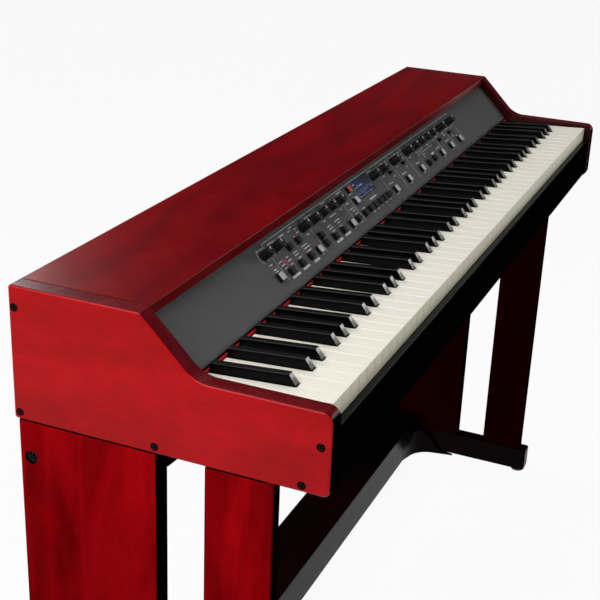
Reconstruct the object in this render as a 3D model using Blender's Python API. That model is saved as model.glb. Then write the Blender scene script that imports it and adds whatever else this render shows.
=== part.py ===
"""Stage piano with 88 keys on its own four-legged wooden stand.

X runs along the keyboard towards the treble, the player sits at -Y, and Z is up from the floor.
All sizes are in metres. Heights and depths are measured from the top of the white keys' fronts,
and everything else of the case follows from there. The keys at rest fall a little to the rear.
"""

import math

import bmesh
import bpy
from mathutils import Matrix, Vector

# Clearances

SEAM = 0.0003              # between pieces that touch
KEY_GAP = 0.001            # between neighbouring white keys
CAP_CLEARANCE = 0.0005     # between a push button and its hole
SHAFT_CLEARANCE = 0.0006   # between a knob's stem and its hole
ROD_CLEARANCE = 0.0004     # between a key's hook and the pivot rod
KEY_REAR_GAP = 0.0008      # between the key tops and the felt strip
PRESS_CLEARANCE = 0.0006   # left under a key that is fully down
CUT_MARGIN = 0.001         # by which a cutting solid stands past what it cuts

# Facets of round pieces

ROD_SIDES = 12
HOLE_SIDES = 12
KNOB_SIDES = 16
GLIDE_SIDES = 16
HOOK_STEPS = 6
CORNER_STEPS = 4
SHARP_ANGLE = math.radians(35)

# Keyboard

WHITE_COUNT = 52
WHITE_PITCH = 0.0235
KEY_TOP_LENGTH = 0.147     # what shows of a key, from its front to the felt
KEY_FALL = 0.058           # fall of the key tops for each length towards the rear
KEY_SKIRT = 0.022          # height of a white key's front
KEY_DIP = 0.010            # travel at the front edge
SKIRT_LENGTH = 0.128       # where the deep front of a key ends
SLOT_FRONT = 0.0484        # where the slots for the black keys start
SLOT_WIDTH = 0.0137
BLACK_FRONT = 0.050
BLACK_SLOPE_END = 0.0585   # where the sloped front reaches the top
BLACK_BASE_WIDTH = 0.011
BLACK_TOP_WIDTH = 0.0096
BLACK_RISE_FRONT = 0.012   # above the white tops beside it
BLACK_RISE_REAR = 0.0104
TAIL_TOP_DROP = 0.0135     # top of the hidden rear of a key, below the top of the key fronts
TAIL_THICK = 0.0075
TAIL_REST = 0.005          # tail behind the pivot

# Slot centres of the black keys from the left edge of C, as shares of the seven white keys
BLACK_CENTRES = {"c_sharp": 0.0212, "d_sharp": 0.0493, "f_sharp": 0.0906, "g_sharp": 0.1175,
                 "a_sharp": 0.1444}
OCTAVE_DRAWN = 0.1645      # octave width that those centres belong to
WHITE_NOTES = ("a", "b", "c", "d", "e", "f", "g")
SCALE = ("c", "c_sharp", "d", "d_sharp", "e", "f", "f_sharp", "g", "g_sharp", "a", "a_sharp", "b")

# Rails under the tails that hold all keys of one note together, one behind the other
LINK_FIRST = 0.006         # first rail's centre behind the key tops
LINK_PITCH = 0.0051
LINK_DEPTH = 0.0039
LINK_HEIGHT = 0.005
LINK_DROP = 0.0045         # free space between a rail and the tails above it

# Pivot and key frame
ROD_RADIUS = 0.002
PIVOT_BEHIND_LINKS = 0.0084
PIVOT_IN_TAIL = 0.0045     # rod centre below the top of the tail
BLADE_THICK = 0.0026
FRAME_SHEET = 0.003
FRAME_FRONT = 0.012        # front wall of the key frame behind the key fronts
STOP_DEPTH = 0.008         # front ridge that the keys land on
STOP_HEIGHT = 0.004
FRAME_REAR = 0.010         # rear wall behind the pivot

# Case

KEY_END_GAP = 0.0074       # between the end keys and the side panels
SIDE_THICK = 0.0214
SIDE_NOSE = 0.0115         # side panel in front of the keys
SIDE_ARM_RISE = 0.0035     # top of its arm above the key fronts
SIDE_NOSE_TOP_RADIUS = 0.012
SIDE_NOSE_FOOT_RADIUS = 0.008
SIDE_COVE_RADIUS = 0.038
SIDE_BACK_RADIUS = 0.004
SIDE_SHOULDER_RADIUS = 0.005
SIDE_OUTER_ROUND = 0.003
SIDE_INNER_ROUND = 0.0008
CASE_BELOW_KEYS = 0.0898   # underside of the case below the top of the key fronts
TOP_RISE = 0.0662          # top board above it
TOP_THICK = 0.0135
TOP_DEPTH = 0.1569
TOP_FRONT_ROUND = 0.0015
TOP_FRONT_SETBACK = 0.0496 # top board's front behind the control panel's lower edge
BOTTOM_THICK = 0.009
BACK_THICK = 0.0122
SLIP_THICK = 0.0072        # key slip, the board across the front
SLIP_SETBACK = 0.0035      # key slip behind the noses of the side panels
SLIP_REVEAL = 0.0005       # its top edge below the keys' fronts
SLIP_TOP_ROUND = 0.0008
SLIP_FOOT_RADIUS = 0.005

# Felt and control panel

FELT_DEPTH = 0.0024
FELT_HEIGHT = 0.005
FELT_DROP = 0.004          # top of the felt below the top of the key fronts
LIP_SHEET = 0.0012
LIP_DEPTH = 0.0032         # lip that carries the felt
PANEL_DROP = 0.003         # panel's lower edge below the top of the key fronts
PANEL_SHEET = 0.002
PANEL_FLANGE = 0.020       # flange under the top board
PANEL_ANGLE = math.radians(45)

# Controls, as places on the panel: along it from the middle, and up it from its lower edge

KNOB_ROW = 0.0565
KNOB_PLACES = (-0.367, -0.3355, -0.252, -0.221, -0.192, -0.1635, -0.1345, 0.004, 0.0375,
               0.0905, 0.1515, 0.1815, 0.2105, 0.2395, 0.2685, 0.319, 0.367)
KNOB_RADIUS = 0.0064
KNOB_TOP_RADIUS = 0.0059
KNOB_HEIGHT = 0.0165
KNOB_LIFT = 0.0008         # knob above the panel
KNOB_EDGE = 0.0008
STEM_RADIUS = 0.003

CAP_RISE = 0.005
CAP_LARGE = 0.0105
CAP_SQUARE = 0.0095
CAP_ROW_WIDTH = 0.0135
CAP_ROW_HEIGHT = 0.0085
CAP_SMALL_WIDTH = 0.0068
CAP_SMALL_HEIGHT = 0.0052
CAP_ALERT = 0.009

LARGE = (CAP_LARGE, CAP_LARGE)
SQUARE = (CAP_SQUARE, CAP_SQUARE)
IN_ROW = (CAP_ROW_WIDTH, CAP_ROW_HEIGHT)
SMALL = (CAP_SMALL_WIDTH, CAP_SMALL_HEIGHT)
ALERT = (CAP_ALERT, CAP_ALERT)

BUTTONS = {
    "buttons_left": (
        (-0.366, 0.0245, LARGE), (-0.3368, 0.022, SQUARE), (-0.306, 0.0475, SQUARE),
        (-0.3058, 0.022, SQUARE), (-0.2787, 0.0475, SQUARE), (-0.2772, 0.022, SQUARE),
        (-0.2503, 0.0215, LARGE), (-0.2243, 0.0345, SQUARE), (-0.2251, 0.0225, SQUARE),
        (-0.1948, 0.0224, SQUARE), (-0.1662, 0.022, SQUARE), (-0.1347, 0.0215, LARGE)),
    "buttons_middle": (
        (-0.1118, 0.022, SQUARE), (-0.0841, 0.022, SQUARE), (-0.0836, 0.0433, LARGE),
        (-0.0825, 0.0617, ALERT), (-0.0614, 0.0223, IN_ROW), (-0.0425, 0.0223, IN_ROW),
        (-0.0232, 0.0223, IN_ROW), (-0.0055, 0.0223, IN_ROW), (0.0112, 0.0223, IN_ROW),
        (0.0435, 0.0215, LARGE), (0.063, 0.0464, SMALL)),
    "buttons_right": (
        (0.1028, 0.0215, LARGE), (0.1207, 0.0463, SMALL), (0.1659, 0.0215, LARGE),
        (0.2027, 0.0215, SQUARE), (0.2313, 0.022, SQUARE), (0.2701, 0.021, LARGE),
        (0.2949, 0.041, SMALL), (0.3205, 0.0215, LARGE), (0.3478, 0.041, SMALL),
        (0.3693, 0.0215, LARGE)),
}
COMB_PLATE = 0.0023        # plate under the panel that joins a group of buttons
COMB_LOW = 0.0145
COMB_HIGH = 0.0285
COMB_MARGIN = 0.002
ARM_MARGIN = 0.001

DISPLAY_LEFT = -0.0635
DISPLAY_RIGHT = -0.005
DISPLAY_LOW = 0.040
DISPLAY_HIGH = 0.0695
DISPLAY_SINK = 0.0005      # glass below the panel's face
DISPLAY_FLANGE = 0.0018
DISPLAY_DEPTH = 0.006

BOARD_DEPTH = 0.020        # circuit board's upper face below the panel's face
BOARD_SHEET = 0.0016
BOARD_HALF = 0.405
BOARD_LOW = 0.027
BOARD_HIGH = 0.074
POT_SIDE = 0.010
POT_HEIGHT = 0.007
STUD_SIDE = 0.006
STUD_PLACES = (-0.395, -0.123, 0.082, 0.395)
STUD_ROWS = (0.031, 0.070)

# Inside and back of the case

SUPPLY_CENTRE_X = 0.400
SUPPLY_LENGTH = 0.150
SUPPLY_DEPTH = 0.070
SUPPLY_HEIGHT = 0.040
SUPPLY_BEHIND_FRAME = 0.020
JACK_CENTRE_X = -0.300
JACK_LENGTH = 0.300
JACK_HEIGHT = 0.046
JACK_DROP = 0.020          # centre of the sockets below the top of the key fronts
JACK_SHEET = 0.0025
JACK_HOLES = ((-0.120, 0.0047), (-0.090, 0.0047), (-0.060, 0.0047), (-0.020, 0.0075), (0.015, 0.0075))
INLET_PLACE = 0.095
INLET_LENGTH = 0.0275
INLET_HEIGHT = 0.020

# Stand

LEG_THICK = 0.026
LEG_LENGTH = 0.5914
FRONT_LEG_START = 0.048    # behind the key fronts
FRONT_LEG_DEPTH = 0.078
REAR_LEG_START = 0.183
REAR_LEG_DEPTH = 0.169
REAR_LEG_ROUND = 0.0015
FOOT_START = 0.035
FOOT_HEIGHT = 0.0457
FOOT_ROUND = 0.004
GLIDE_RADIUS = 0.0125
GLIDE_HEIGHT = 0.0045
GLIDE_INSET = 0.016        # from a foot's end to a glide's centre
BRACKET_SHEET = 0.003
BRACKET_REACH = 0.024      # in front of the rear leg
BRACKET_BACK = 0.020       # along the rear leg
BRACKET_DROP = 0.028
BRACKET_FLANGE = 0.020
SHELF_START = 0.268
SHELF_DEPTH = 0.088
SHELF_THICK = 0.0208
SHELF_ABOVE_FEET = 0.0068
RAIL_START = 0.273
RAIL_THICK = 0.018
RAIL_SLIT = 0.0025         # between the shelf and the rail below it
RAIL_FLOOR_GAP = 0.001
GUSSET_WIDTH = 0.0705      # curved end of the rail, along the rail
GUSSET_FORWARD = 0.086     # and along the foot
GUSSET_KNEE_ALONG = 0.016  # where its two straight tangents meet, from the foot
GUSSET_KNEE_FORWARD = 0.014
GUSSET_RADIUS = 0.048
GUSSET_TIP = 0.002         # its width where it starts on the foot
GUSSET_TOE = 0.0035        # and its height there
GUSSET_HEEL = 0.006        # height at the end of its flat stretch
GUSSET_TOE_LENGTH = 0.027
GUSSET_RUN = 0.033         # its steep stretch along the foot
GUSSET_SHOULDER = 0.006    # from the steep stretch to its top
GUSSET_TOP_DROP = 0.0015   # its shoulder below the top of the feet

# Heights from the floor

FOOT_TOP = GLIDE_HEIGHT + SEAM + FOOT_HEIGHT
LEG_TOP = FOOT_TOP + SEAM + LEG_LENGTH
CASE_BOTTOM = LEG_TOP + SEAM
KEY_TOP = CASE_BOTTOM + CASE_BELOW_KEYS
TOP_UNDER = KEY_TOP + TOP_RISE - TOP_THICK

# Places across the object

HALF_KEYS = WHITE_COUNT * WHITE_PITCH / 2
HALF_INNER = HALF_KEYS + KEY_END_GAP
HALF_OUTER = HALF_INNER + SIDE_THICK
HALF_SPAN = HALF_INNER - SEAM
LEG_INNER = HALF_OUTER - LEG_THICK

# Places from the key fronts backwards

PANEL_FOOT = KEY_TOP_LENGTH + KEY_REAR_GAP + LIP_DEPTH
TOP_FRONT = PANEL_FOOT + TOP_FRONT_SETBACK
CASE_BACK = TOP_FRONT + TOP_DEPTH
KEY_FRONT = (SIDE_NOSE - CASE_BACK) / 2
PIVOT_BACK = KEY_TOP_LENGTH + LINK_FIRST + (len(SCALE) - 1) * LINK_PITCH + PIVOT_BEHIND_LINKS
PIVOT_DROP = TAIL_TOP_DROP + PIVOT_IN_TAIL


def from_keys(back, up):
    """Y and Z of a point that is so far behind the key fronts and above their top edge."""
    return (KEY_FRONT + back, KEY_TOP + up)


def side_frame():
    """Frame whose first two axes are world Y and Z, and whose third is world X."""
    return Matrix(((0, 0, 1, 0), (1, 0, 0, 0), (0, 1, 0, 0), (0, 0, 0, 1)))


def panel_frame():
    """Frame on the control panel's face: along it, up it, and out of it."""
    rise = Vector((0, math.cos(PANEL_ANGLE), math.sin(PANEL_ANGLE)))
    out = Vector((0, -math.sin(PANEL_ANGLE), math.cos(PANEL_ANGLE)))
    y, z = from_keys(PANEL_FOOT, -PANEL_DROP)
    frame = Matrix((Vector((1, 0, 0)), rise, out)).transposed().to_4x4()
    frame.translation = Vector((0, y, z))
    return frame


def linear(hex_colour):
    """Linear RGBA of an sRGB hex colour."""
    channels = [int(hex_colour[i:i + 2], 16) / 255 for i in (1, 3, 5)]
    return [c / 12.92 if c <= 0.04045 else ((c + 0.055) / 1.055) ** 2.4 for c in channels] + [1.0]


def finish(name, hex_colour, roughness, metallic=0.0):
    """A plain Principled material."""
    material = bpy.data.materials.new(name)
    material.use_nodes = True
    shader = material.node_tree.nodes["Principled BSDF"]
    shader.inputs["Base Color"].default_value = linear(hex_colour)
    shader.inputs["Roughness"].default_value = roughness
    shader.inputs["Metallic"].default_value = metallic
    return material


def add_piece(name, solid, material, origin=None, smooth=False):
    """Put a solid in the scene as one object, with its origin at a joint's axis where it has one."""
    mesh = bpy.data.meshes.new(name)
    bmesh.ops.recalc_face_normals(solid, faces=solid.faces)
    solid.to_mesh(mesh)
    solid.free()
    if smooth:
        mesh.shade_smooth()
        mesh.set_sharp_from_angle(angle=SHARP_ANGLE)
    mesh.materials.append(material)
    piece = bpy.data.objects.new(name, mesh)
    bpy.context.collection.objects.link(piece)
    if origin is not None:
        mesh.transform(origin.inverted())
        piece.matrix_world = origin
    return piece


def rounded(corners, steps=CORNER_STEPS):
    """Closed outline through corners (a, b, radius), each radius an arc tangent to both sides."""
    outline = []
    for i, (a, b, radius) in enumerate(corners):
        corner = Vector((a, b))
        if radius == 0:
            outline.append(corner)
            continue
        before = (Vector(corners[i - 1][:2]) - corner).normalized()
        after = (Vector(corners[(i + 1) % len(corners)][:2]) - corner).normalized()
        half = before.angle(after) / 2
        centre = corner + (before + after).normalized() * radius / math.sin(half)
        spoke = corner + before * radius / math.tan(half) - centre
        turn = math.copysign(math.pi - 2 * half, before.cross(after))
        for step in range(steps + 1):
            outline.append(centre + Matrix.Rotation(-turn * step / steps, 2) @ spoke)
    return outline


def prism(outline, frame, low, high):
    """Closed solid of an outline in a frame's first two axes, from low to high along its third."""
    solid = bmesh.new()
    lower = [solid.verts.new(frame @ Vector((a, b, low))) for a, b in outline]
    upper = [solid.verts.new(frame @ Vector((a, b, high))) for a, b in outline]
    solid.faces.new(reversed(lower))
    solid.faces.new(upper)
    for i in range(len(lower)):
        solid.faces.new((lower[i - 1], lower[i], upper[i], upper[i - 1]))
    bmesh.ops.recalc_face_normals(solid, faces=solid.faces)
    return solid


def rectangle(low_a, high_a, low_b, high_b):
    """Corners of a rectangle in a plane."""
    return [(low_a, low_b), (high_a, low_b), (high_a, high_b), (low_a, high_b)]


def square(centre_a, centre_b, side):
    """Corners of a square in a plane."""
    return rectangle(centre_a - side / 2, centre_a + side / 2, centre_b - side / 2, centre_b + side / 2)


def block(low, high):
    """Box between two opposite corners."""
    return prism(rectangle(low[0], high[0], low[1], high[1]), Matrix.Identity(4), low[2], high[2])


def disc_outline(centre_a, centre_b, radius, sides):
    """Regular outline around a centre."""
    turns = [2 * math.pi * (i + 0.5) / sides for i in range(sides)]
    return [(centre_a + radius * math.cos(t), centre_b + radius * math.sin(t)) for t in turns]


def turned(profile, frame, sides):
    """Solid turned about a frame's third axis from (radius, height) points, closed at both ends."""
    solid = bmesh.new()
    spine = [solid.verts.new(Vector((radius, 0, height))) for radius, height in profile]
    edges = [solid.edges.new(pair) for pair in zip(spine, spine[1:])]
    bmesh.ops.spin(solid, geom=spine + edges, cent=(0, 0, 0), axis=(0, 0, 1), dvec=(0, 0, 0),
                   angle=2 * math.pi, steps=sides, use_merge=True, use_duplicate=False)
    bmesh.ops.remove_doubles(solid, verts=solid.verts, dist=0.000001)
    bmesh.ops.transform(solid, matrix=frame, verts=solid.verts)
    bmesh.ops.recalc_face_normals(solid, faces=solid.faces)
    return solid


def gather(solids):
    """Several solids that don't meet, in one mesh."""
    group = bmesh.new()
    for solid in solids:
        mesh = bpy.data.meshes.new("gathered")
        solid.to_mesh(mesh)
        solid.free()
        group.from_mesh(mesh)
        bpy.data.meshes.remove(mesh)
    return group


def combine(base, tool, operation):
    """Union, difference or intersection of two closed meshes, cleaned of needless edges."""
    pair = []
    for solid in (base, tool):
        mesh = bpy.data.meshes.new("operand")
        solid.to_mesh(mesh)
        solid.free()
        holder = bpy.data.objects.new("operand", mesh)
        bpy.context.collection.objects.link(holder)
        pair.append(holder)
    step = pair[0].modifiers.new("combine", 'BOOLEAN')
    step.operation = operation
    step.solver = 'EXACT'
    step.object = pair[1]
    result = bmesh.new()
    result.from_object(pair[0], bpy.context.evaluated_depsgraph_get())
    for holder in pair:
        mesh = holder.data
        bpy.data.objects.remove(holder)
        bpy.data.meshes.remove(mesh)
    bmesh.ops.remove_doubles(result, verts=result.verts, dist=0.000001)
    bmesh.ops.dissolve_limit(result, angle_limit=math.radians(0.3), verts=result.verts, edges=result.edges)
    return result


def side_panel(x_inner, x_outer):
    """One end of the case: an arm beside the keys, a cove, a slope and the tall rear."""
    slope_foot = TOP_FRONT - (TOP_RISE - SIDE_ARM_RISE) / math.tan(PANEL_ANGLE)
    corners = (
        from_keys(-SIDE_NOSE, SIDE_ARM_RISE) + (SIDE_NOSE_TOP_RADIUS,),
        from_keys(slope_foot, SIDE_ARM_RISE) + (SIDE_COVE_RADIUS,),
        from_keys(TOP_FRONT, TOP_RISE) + (SIDE_SHOULDER_RADIUS,),
        from_keys(CASE_BACK, TOP_RISE) + (SIDE_BACK_RADIUS,),
        from_keys(CASE_BACK, -CASE_BELOW_KEYS) + (SIDE_BACK_RADIUS,),
        from_keys(-SIDE_NOSE, -CASE_BELOW_KEYS) + (SIDE_NOSE_FOOT_RADIUS,),
    )
    outline = rounded(corners, CORNER_STEPS + 1)
    panel = prism(outline, side_frame(), min(x_inner, x_outer), max(x_inner, x_outer))
    for x, width, segments in ((x_outer, SIDE_OUTER_ROUND, 2), (x_inner, SIDE_INNER_ROUND, 1)):
        rim = [e for e in panel.edges if all(abs(v.co.x - x) < SEAM / 2 for v in e.verts)]
        bmesh.ops.bevel(panel, geom=rim, offset=width, segments=segments, profile=0.5,
                        affect='EDGES', clamp_overlap=False, material=-1)
    return panel


def build_case(wood, dark_wood, black_paint):
    """Side panels, boards and the key slip."""
    for name, sign in (("side_panel_left", -1), ("side_panel_right", 1)):
        add_piece(name, side_panel(sign * HALF_INNER, sign * HALF_OUTER), wood, smooth=True)

    front, under = from_keys(TOP_FRONT, TOP_RISE - TOP_THICK)
    back, top = from_keys(CASE_BACK, TOP_RISE)
    lid = rounded(((front, under, TOP_FRONT_ROUND), (front, top, TOP_FRONT_ROUND),
                   (back, top, SIDE_BACK_RADIUS), (back, under, 0)))
    add_piece("top_board", prism(lid, side_frame(), -HALF_SPAN, HALF_SPAN), wood, smooth=True)

    slip_front = KEY_FRONT - SIDE_NOSE + SLIP_SETBACK
    slip_back = slip_front + SLIP_THICK
    slip_top = KEY_TOP - KEY_SKIRT - SLIP_REVEAL
    slip = rounded(((slip_front, slip_top, SLIP_TOP_ROUND), (slip_back, slip_top, 0),
                    (slip_back, CASE_BOTTOM, 0), (slip_front, CASE_BOTTOM, SLIP_FOOT_RADIUS)))
    add_piece("key_slip", prism(slip, side_frame(), -HALF_SPAN, HALF_SPAN), black_paint, smooth=True)

    back_inner = back - BACK_THICK
    bottom_top = CASE_BOTTOM + BOTTOM_THICK
    add_piece("bottom_board", block((-HALF_SPAN, slip_back + SEAM, CASE_BOTTOM),
                                    (HALF_SPAN, back_inner - SEAM, bottom_top)), dark_wood)
    wall = block((-HALF_SPAN, back_inner, CASE_BOTTOM), (HALF_SPAN, back, under - SEAM))
    window = jack_block(back_inner - CUT_MARGIN, back + CUT_MARGIN, SEAM)
    add_piece("back_panel", combine(wall, window, 'DIFFERENCE'), dark_wood)


def jack_block(y_low, y_high, margin):
    """Block of the socket plate's outline between two depths, grown by a margin."""
    half = JACK_LENGTH / 2 + margin
    z = KEY_TOP - JACK_DROP
    return block((JACK_CENTRE_X - half, y_low, z - JACK_HEIGHT / 2 - margin),
                 (JACK_CENTRE_X + half, y_high, z + JACK_HEIGHT / 2 + margin))


def build_jack_plate(metal):
    """Plate in the back with the audio, pedal and data sockets and the mains inlet."""
    back = KEY_FRONT + CASE_BACK
    plate = jack_block(back - JACK_SHEET, back, 0)
    z = KEY_TOP - JACK_DROP
    through = Matrix(((1, 0, 0, 0), (0, 0, -1, 0), (0, 1, 0, 0), (0, 0, 0, 1)))
    deep = (-back - CUT_MARGIN, -back + JACK_SHEET + CUT_MARGIN)
    holes = [prism(disc_outline(JACK_CENTRE_X + x, z, radius, HOLE_SIDES), through, deep[0], deep[1])
             for x, radius in JACK_HOLES]
    inlet_x = JACK_CENTRE_X + INLET_PLACE
    inlet = rectangle(inlet_x - INLET_LENGTH / 2, inlet_x + INLET_LENGTH / 2,
                      z - INLET_HEIGHT / 2, z + INLET_HEIGHT / 2)
    holes.append(prism(inlet, through, deep[0], deep[1]))
    add_piece("jack_plate", combine(plate, gather(holes), 'DIFFERENCE'), metal)


def link_centre(note):
    """Depth of the rail that joins all keys of one note, behind the key fronts."""
    return KEY_TOP_LENGTH + LINK_FIRST + SCALE.index(note) * LINK_PITCH


def tail_outline(note):
    """Underside of a key from its rear end to its rail: the hook over the rod, then the web."""
    pivot_y, pivot_z = from_keys(PIVOT_BACK, -PIVOT_DROP)
    low = KEY_TOP - TAIL_TOP_DROP - TAIL_THICK
    hook = ROD_RADIUS + ROD_CLEARANCE
    turns = [math.pi * i / HOOK_STEPS for i in range(HOOK_STEPS + 1)]
    arc = [(pivot_y + hook * math.cos(turn), pivot_z + hook * math.sin(turn)) for turn in turns]
    end = pivot_y + hook + TAIL_REST
    web = KEY_FRONT + link_centre(note)
    half_web = LINK_DEPTH / 2 - SEAM
    web_low = low - LINK_DROP - LINK_HEIGHT / 2
    return [(end, KEY_TOP - TAIL_TOP_DROP), (end, low), (pivot_y + hook, low)] + arc + [
        (pivot_y - hook, low), (web + half_web, low), (web + half_web, web_low),
        (web - half_web, web_low), (web - half_web, low)]


def link_rail(note, x_low, x_high):
    """Rail under the tails that joins all keys of one note."""
    centre = KEY_FRONT + link_centre(note)
    top = KEY_TOP - TAIL_TOP_DROP - TAIL_THICK - LINK_DROP
    return block((x_low, centre - LINK_DEPTH / 2, top - LINK_HEIGHT), (x_high, centre + LINK_DEPTH / 2, top))


def octave_start(octave):
    """Left edge of the C that an octave starts with; the first full octave is number 0."""
    return -HALF_KEYS + (2 + 7 * octave) * WHITE_PITCH


def black_places():
    """Note and centre of each black key."""
    places = []
    stretch = 7 * WHITE_PITCH / OCTAVE_DRAWN
    for octave in range(-1, WHITE_COUNT // 7):
        for note, centre in BLACK_CENTRES.items():
            x = octave_start(octave) + centre * stretch
            if abs(x) < HALF_KEYS - BLACK_BASE_WIDTH / 2:
                places.append((note, x))
    return places


def white_places():
    """Note, wide front and narrow rear of each white key."""
    slots = [x for _, x in black_places()]
    places = []
    for i in range(WHITE_COUNT):
        left = -HALF_KEYS + i * WHITE_PITCH + KEY_GAP / 2
        right = left + WHITE_PITCH - KEY_GAP
        middle = (left + right) / 2
        slot_ends = [x + SLOT_WIDTH / 2 for x in slots if x < middle]
        slot_starts = [x - SLOT_WIDTH / 2 for x in slots if x > middle]
        narrow = (max(slot_ends + [left]), min(slot_starts + [right]))
        places.append((WHITE_NOTES[i % 7], (left, right), narrow))
    return places


def lower_tops(keys):
    """Let the tops of keys that were made level fall towards the rear."""
    for vert in keys.verts:
        if vert.co.z > KEY_TOP - SEAM:
            vert.co.z -= KEY_FALL * (vert.co.y - KEY_FRONT)


def white_keys(note):
    """All white keys of one note, joined by their rail."""
    fronts = []
    rears = []
    start = KEY_FRONT + SLOT_FRONT - LINK_PITCH
    low = KEY_TOP - TAIL_TOP_DROP - TAIL_THICK
    skirt = KEY_TOP - KEY_SKIRT
    outline = [(start, KEY_TOP), (KEY_FRONT + KEY_TOP_LENGTH, KEY_TOP),
               (KEY_FRONT + KEY_TOP_LENGTH, KEY_TOP - TAIL_TOP_DROP)] + tail_outline(note) + [
                   (KEY_FRONT + SKIRT_LENGTH, low), (KEY_FRONT + SKIRT_LENGTH, skirt), (start, skirt)]
    mine = [place for place in white_places() if place[0] == note]
    for _, wide, narrow in mine:
        fronts.append(block((wide[0], KEY_FRONT, skirt), (wide[1], KEY_FRONT + SLOT_FRONT, KEY_TOP)))
        rears.append(prism(outline, side_frame(), narrow[0], narrow[1]))
    rail = link_rail(note, mine[0][2][0] + KEY_GAP, mine[-1][2][1] - KEY_GAP)
    joined = combine(gather(rears), rail, 'UNION')
    keys = combine(joined, gather(fronts), 'UNION')
    lower_tops(keys)
    return keys


def black_key(x, outline):
    """One black key: its sides lean in above the white tops."""
    key = prism(outline, side_frame(), x - BLACK_BASE_WIDTH / 2, x + BLACK_BASE_WIDTH / 2)
    for vert in key.verts:
        if vert.co.z > KEY_TOP + BLACK_RISE_REAR / 2:
            vert.co.x = x + math.copysign(BLACK_TOP_WIDTH / 2, vert.co.x - x)
    lower_tops(key)
    bmesh.ops.triangulate(key, faces=key.faces)
    return key


def black_keys(note):
    """All black keys of one note, joined by their rail."""
    low = KEY_TOP - TAIL_TOP_DROP - TAIL_THICK
    outline = [from_keys(BLACK_FRONT, 0), from_keys(BLACK_SLOPE_END, BLACK_RISE_FRONT),
               from_keys(KEY_TOP_LENGTH, BLACK_RISE_REAR),
               from_keys(KEY_TOP_LENGTH, -TAIL_TOP_DROP)] + tail_outline(note) + [
                   (KEY_FRONT + BLACK_FRONT, low)]
    places = [x for name, x in black_places() if name == note]
    keys = [black_key(x, outline) for x in places]
    inside = BLACK_BASE_WIDTH / 2 - KEY_GAP
    rail = link_rail(note, places[0] - inside, places[-1] + inside)
    return combine(gather(keys), rail, 'UNION')


def build_keyboard(ivory, ebony, steel, galvanised):
    """Keys by note name, the rod that they turn on and the frame that carries the rod."""
    pivot_y, pivot_z = from_keys(PIVOT_BACK, -PIVOT_DROP)
    pivot = Matrix.Translation((0, pivot_y, pivot_z))
    for note in SCALE:
        if note in WHITE_NOTES:
            add_piece("keys_" + note, white_keys(note), ivory, origin=pivot)
        else:
            add_piece("keys_" + note, black_keys(note), ebony, origin=pivot)

    rod = prism(disc_outline(pivot_y, pivot_z, ROD_RADIUS, ROD_SIDES), side_frame(), -HALF_SPAN, HALF_SPAN)
    add_piece("pivot_rod", rod, steel, smooth=True)

    foot = CASE_BOTTOM + BOTTOM_THICK + SEAM
    stop_top = KEY_TOP - KEY_SKIRT - KEY_DIP - PRESS_CLEARANCE
    deck = stop_top - STOP_HEIGHT
    front = KEY_FRONT + FRAME_FRONT
    rear = pivot_y + FRAME_REAR
    blade_top = pivot_z - ROD_RADIUS - SEAM
    frame = [(front, foot), (front, stop_top), (front + STOP_DEPTH, stop_top), (front + STOP_DEPTH, deck),
             (pivot_y - BLADE_THICK / 2, deck), (pivot_y - BLADE_THICK / 2, blade_top),
             (pivot_y + BLADE_THICK / 2, blade_top), (pivot_y + BLADE_THICK / 2, deck), (rear, deck),
             (rear, foot), (rear - FRAME_SHEET, foot), (rear - FRAME_SHEET, deck - FRAME_SHEET),
             (front + FRAME_SHEET, deck - FRAME_SHEET), (front + FRAME_SHEET, foot)]
    add_piece("key_frame", prism(frame, side_frame(), -HALF_SPAN, HALF_SPAN), galvanised)


def cap_outline(place, margin):
    """Outline of one push button on the panel, grown by a margin."""
    along, up, (width, height) = place
    return rectangle(along - width / 2 - margin, along + width / 2 + margin,
                     up - height / 2 - margin, up + height / 2 + margin)


def button_comb(places):
    """Push buttons of one section on their common plate under the panel."""
    frame = panel_frame()
    plate_top = -PANEL_SHEET - SEAM
    plate_low = plate_top - COMB_PLATE
    left = min(along - size[0] / 2 for along, _, size in places) - COMB_MARGIN
    right = max(along + size[0] / 2 for along, _, size in places) + COMB_MARGIN
    comb = prism(rectangle(left, right, COMB_LOW, COMB_HIGH), frame, plate_low, plate_top)
    high = [place for place in places if place[1] + place[2][1] / 2 > COMB_HIGH + COMB_MARGIN]
    arms = []
    for along, up, (width, height) in high:
        if not any(abs(other[0] - along) < width / 2 and other[1] > up for other in high):
            arm = rectangle(along - width / 2, along + width / 2, (COMB_LOW + COMB_HIGH) / 2,
                            up + height / 2 + ARM_MARGIN)
            arms.append(prism(arm, frame, plate_low + SEAM, plate_top - SEAM))
    comb = combine(comb, gather(arms), 'UNION')
    caps = [prism(cap_outline(place, 0), frame, (plate_low + plate_top) / 2, CAP_RISE) for place in places]
    return combine(comb, gather(caps), 'UNION')


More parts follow.
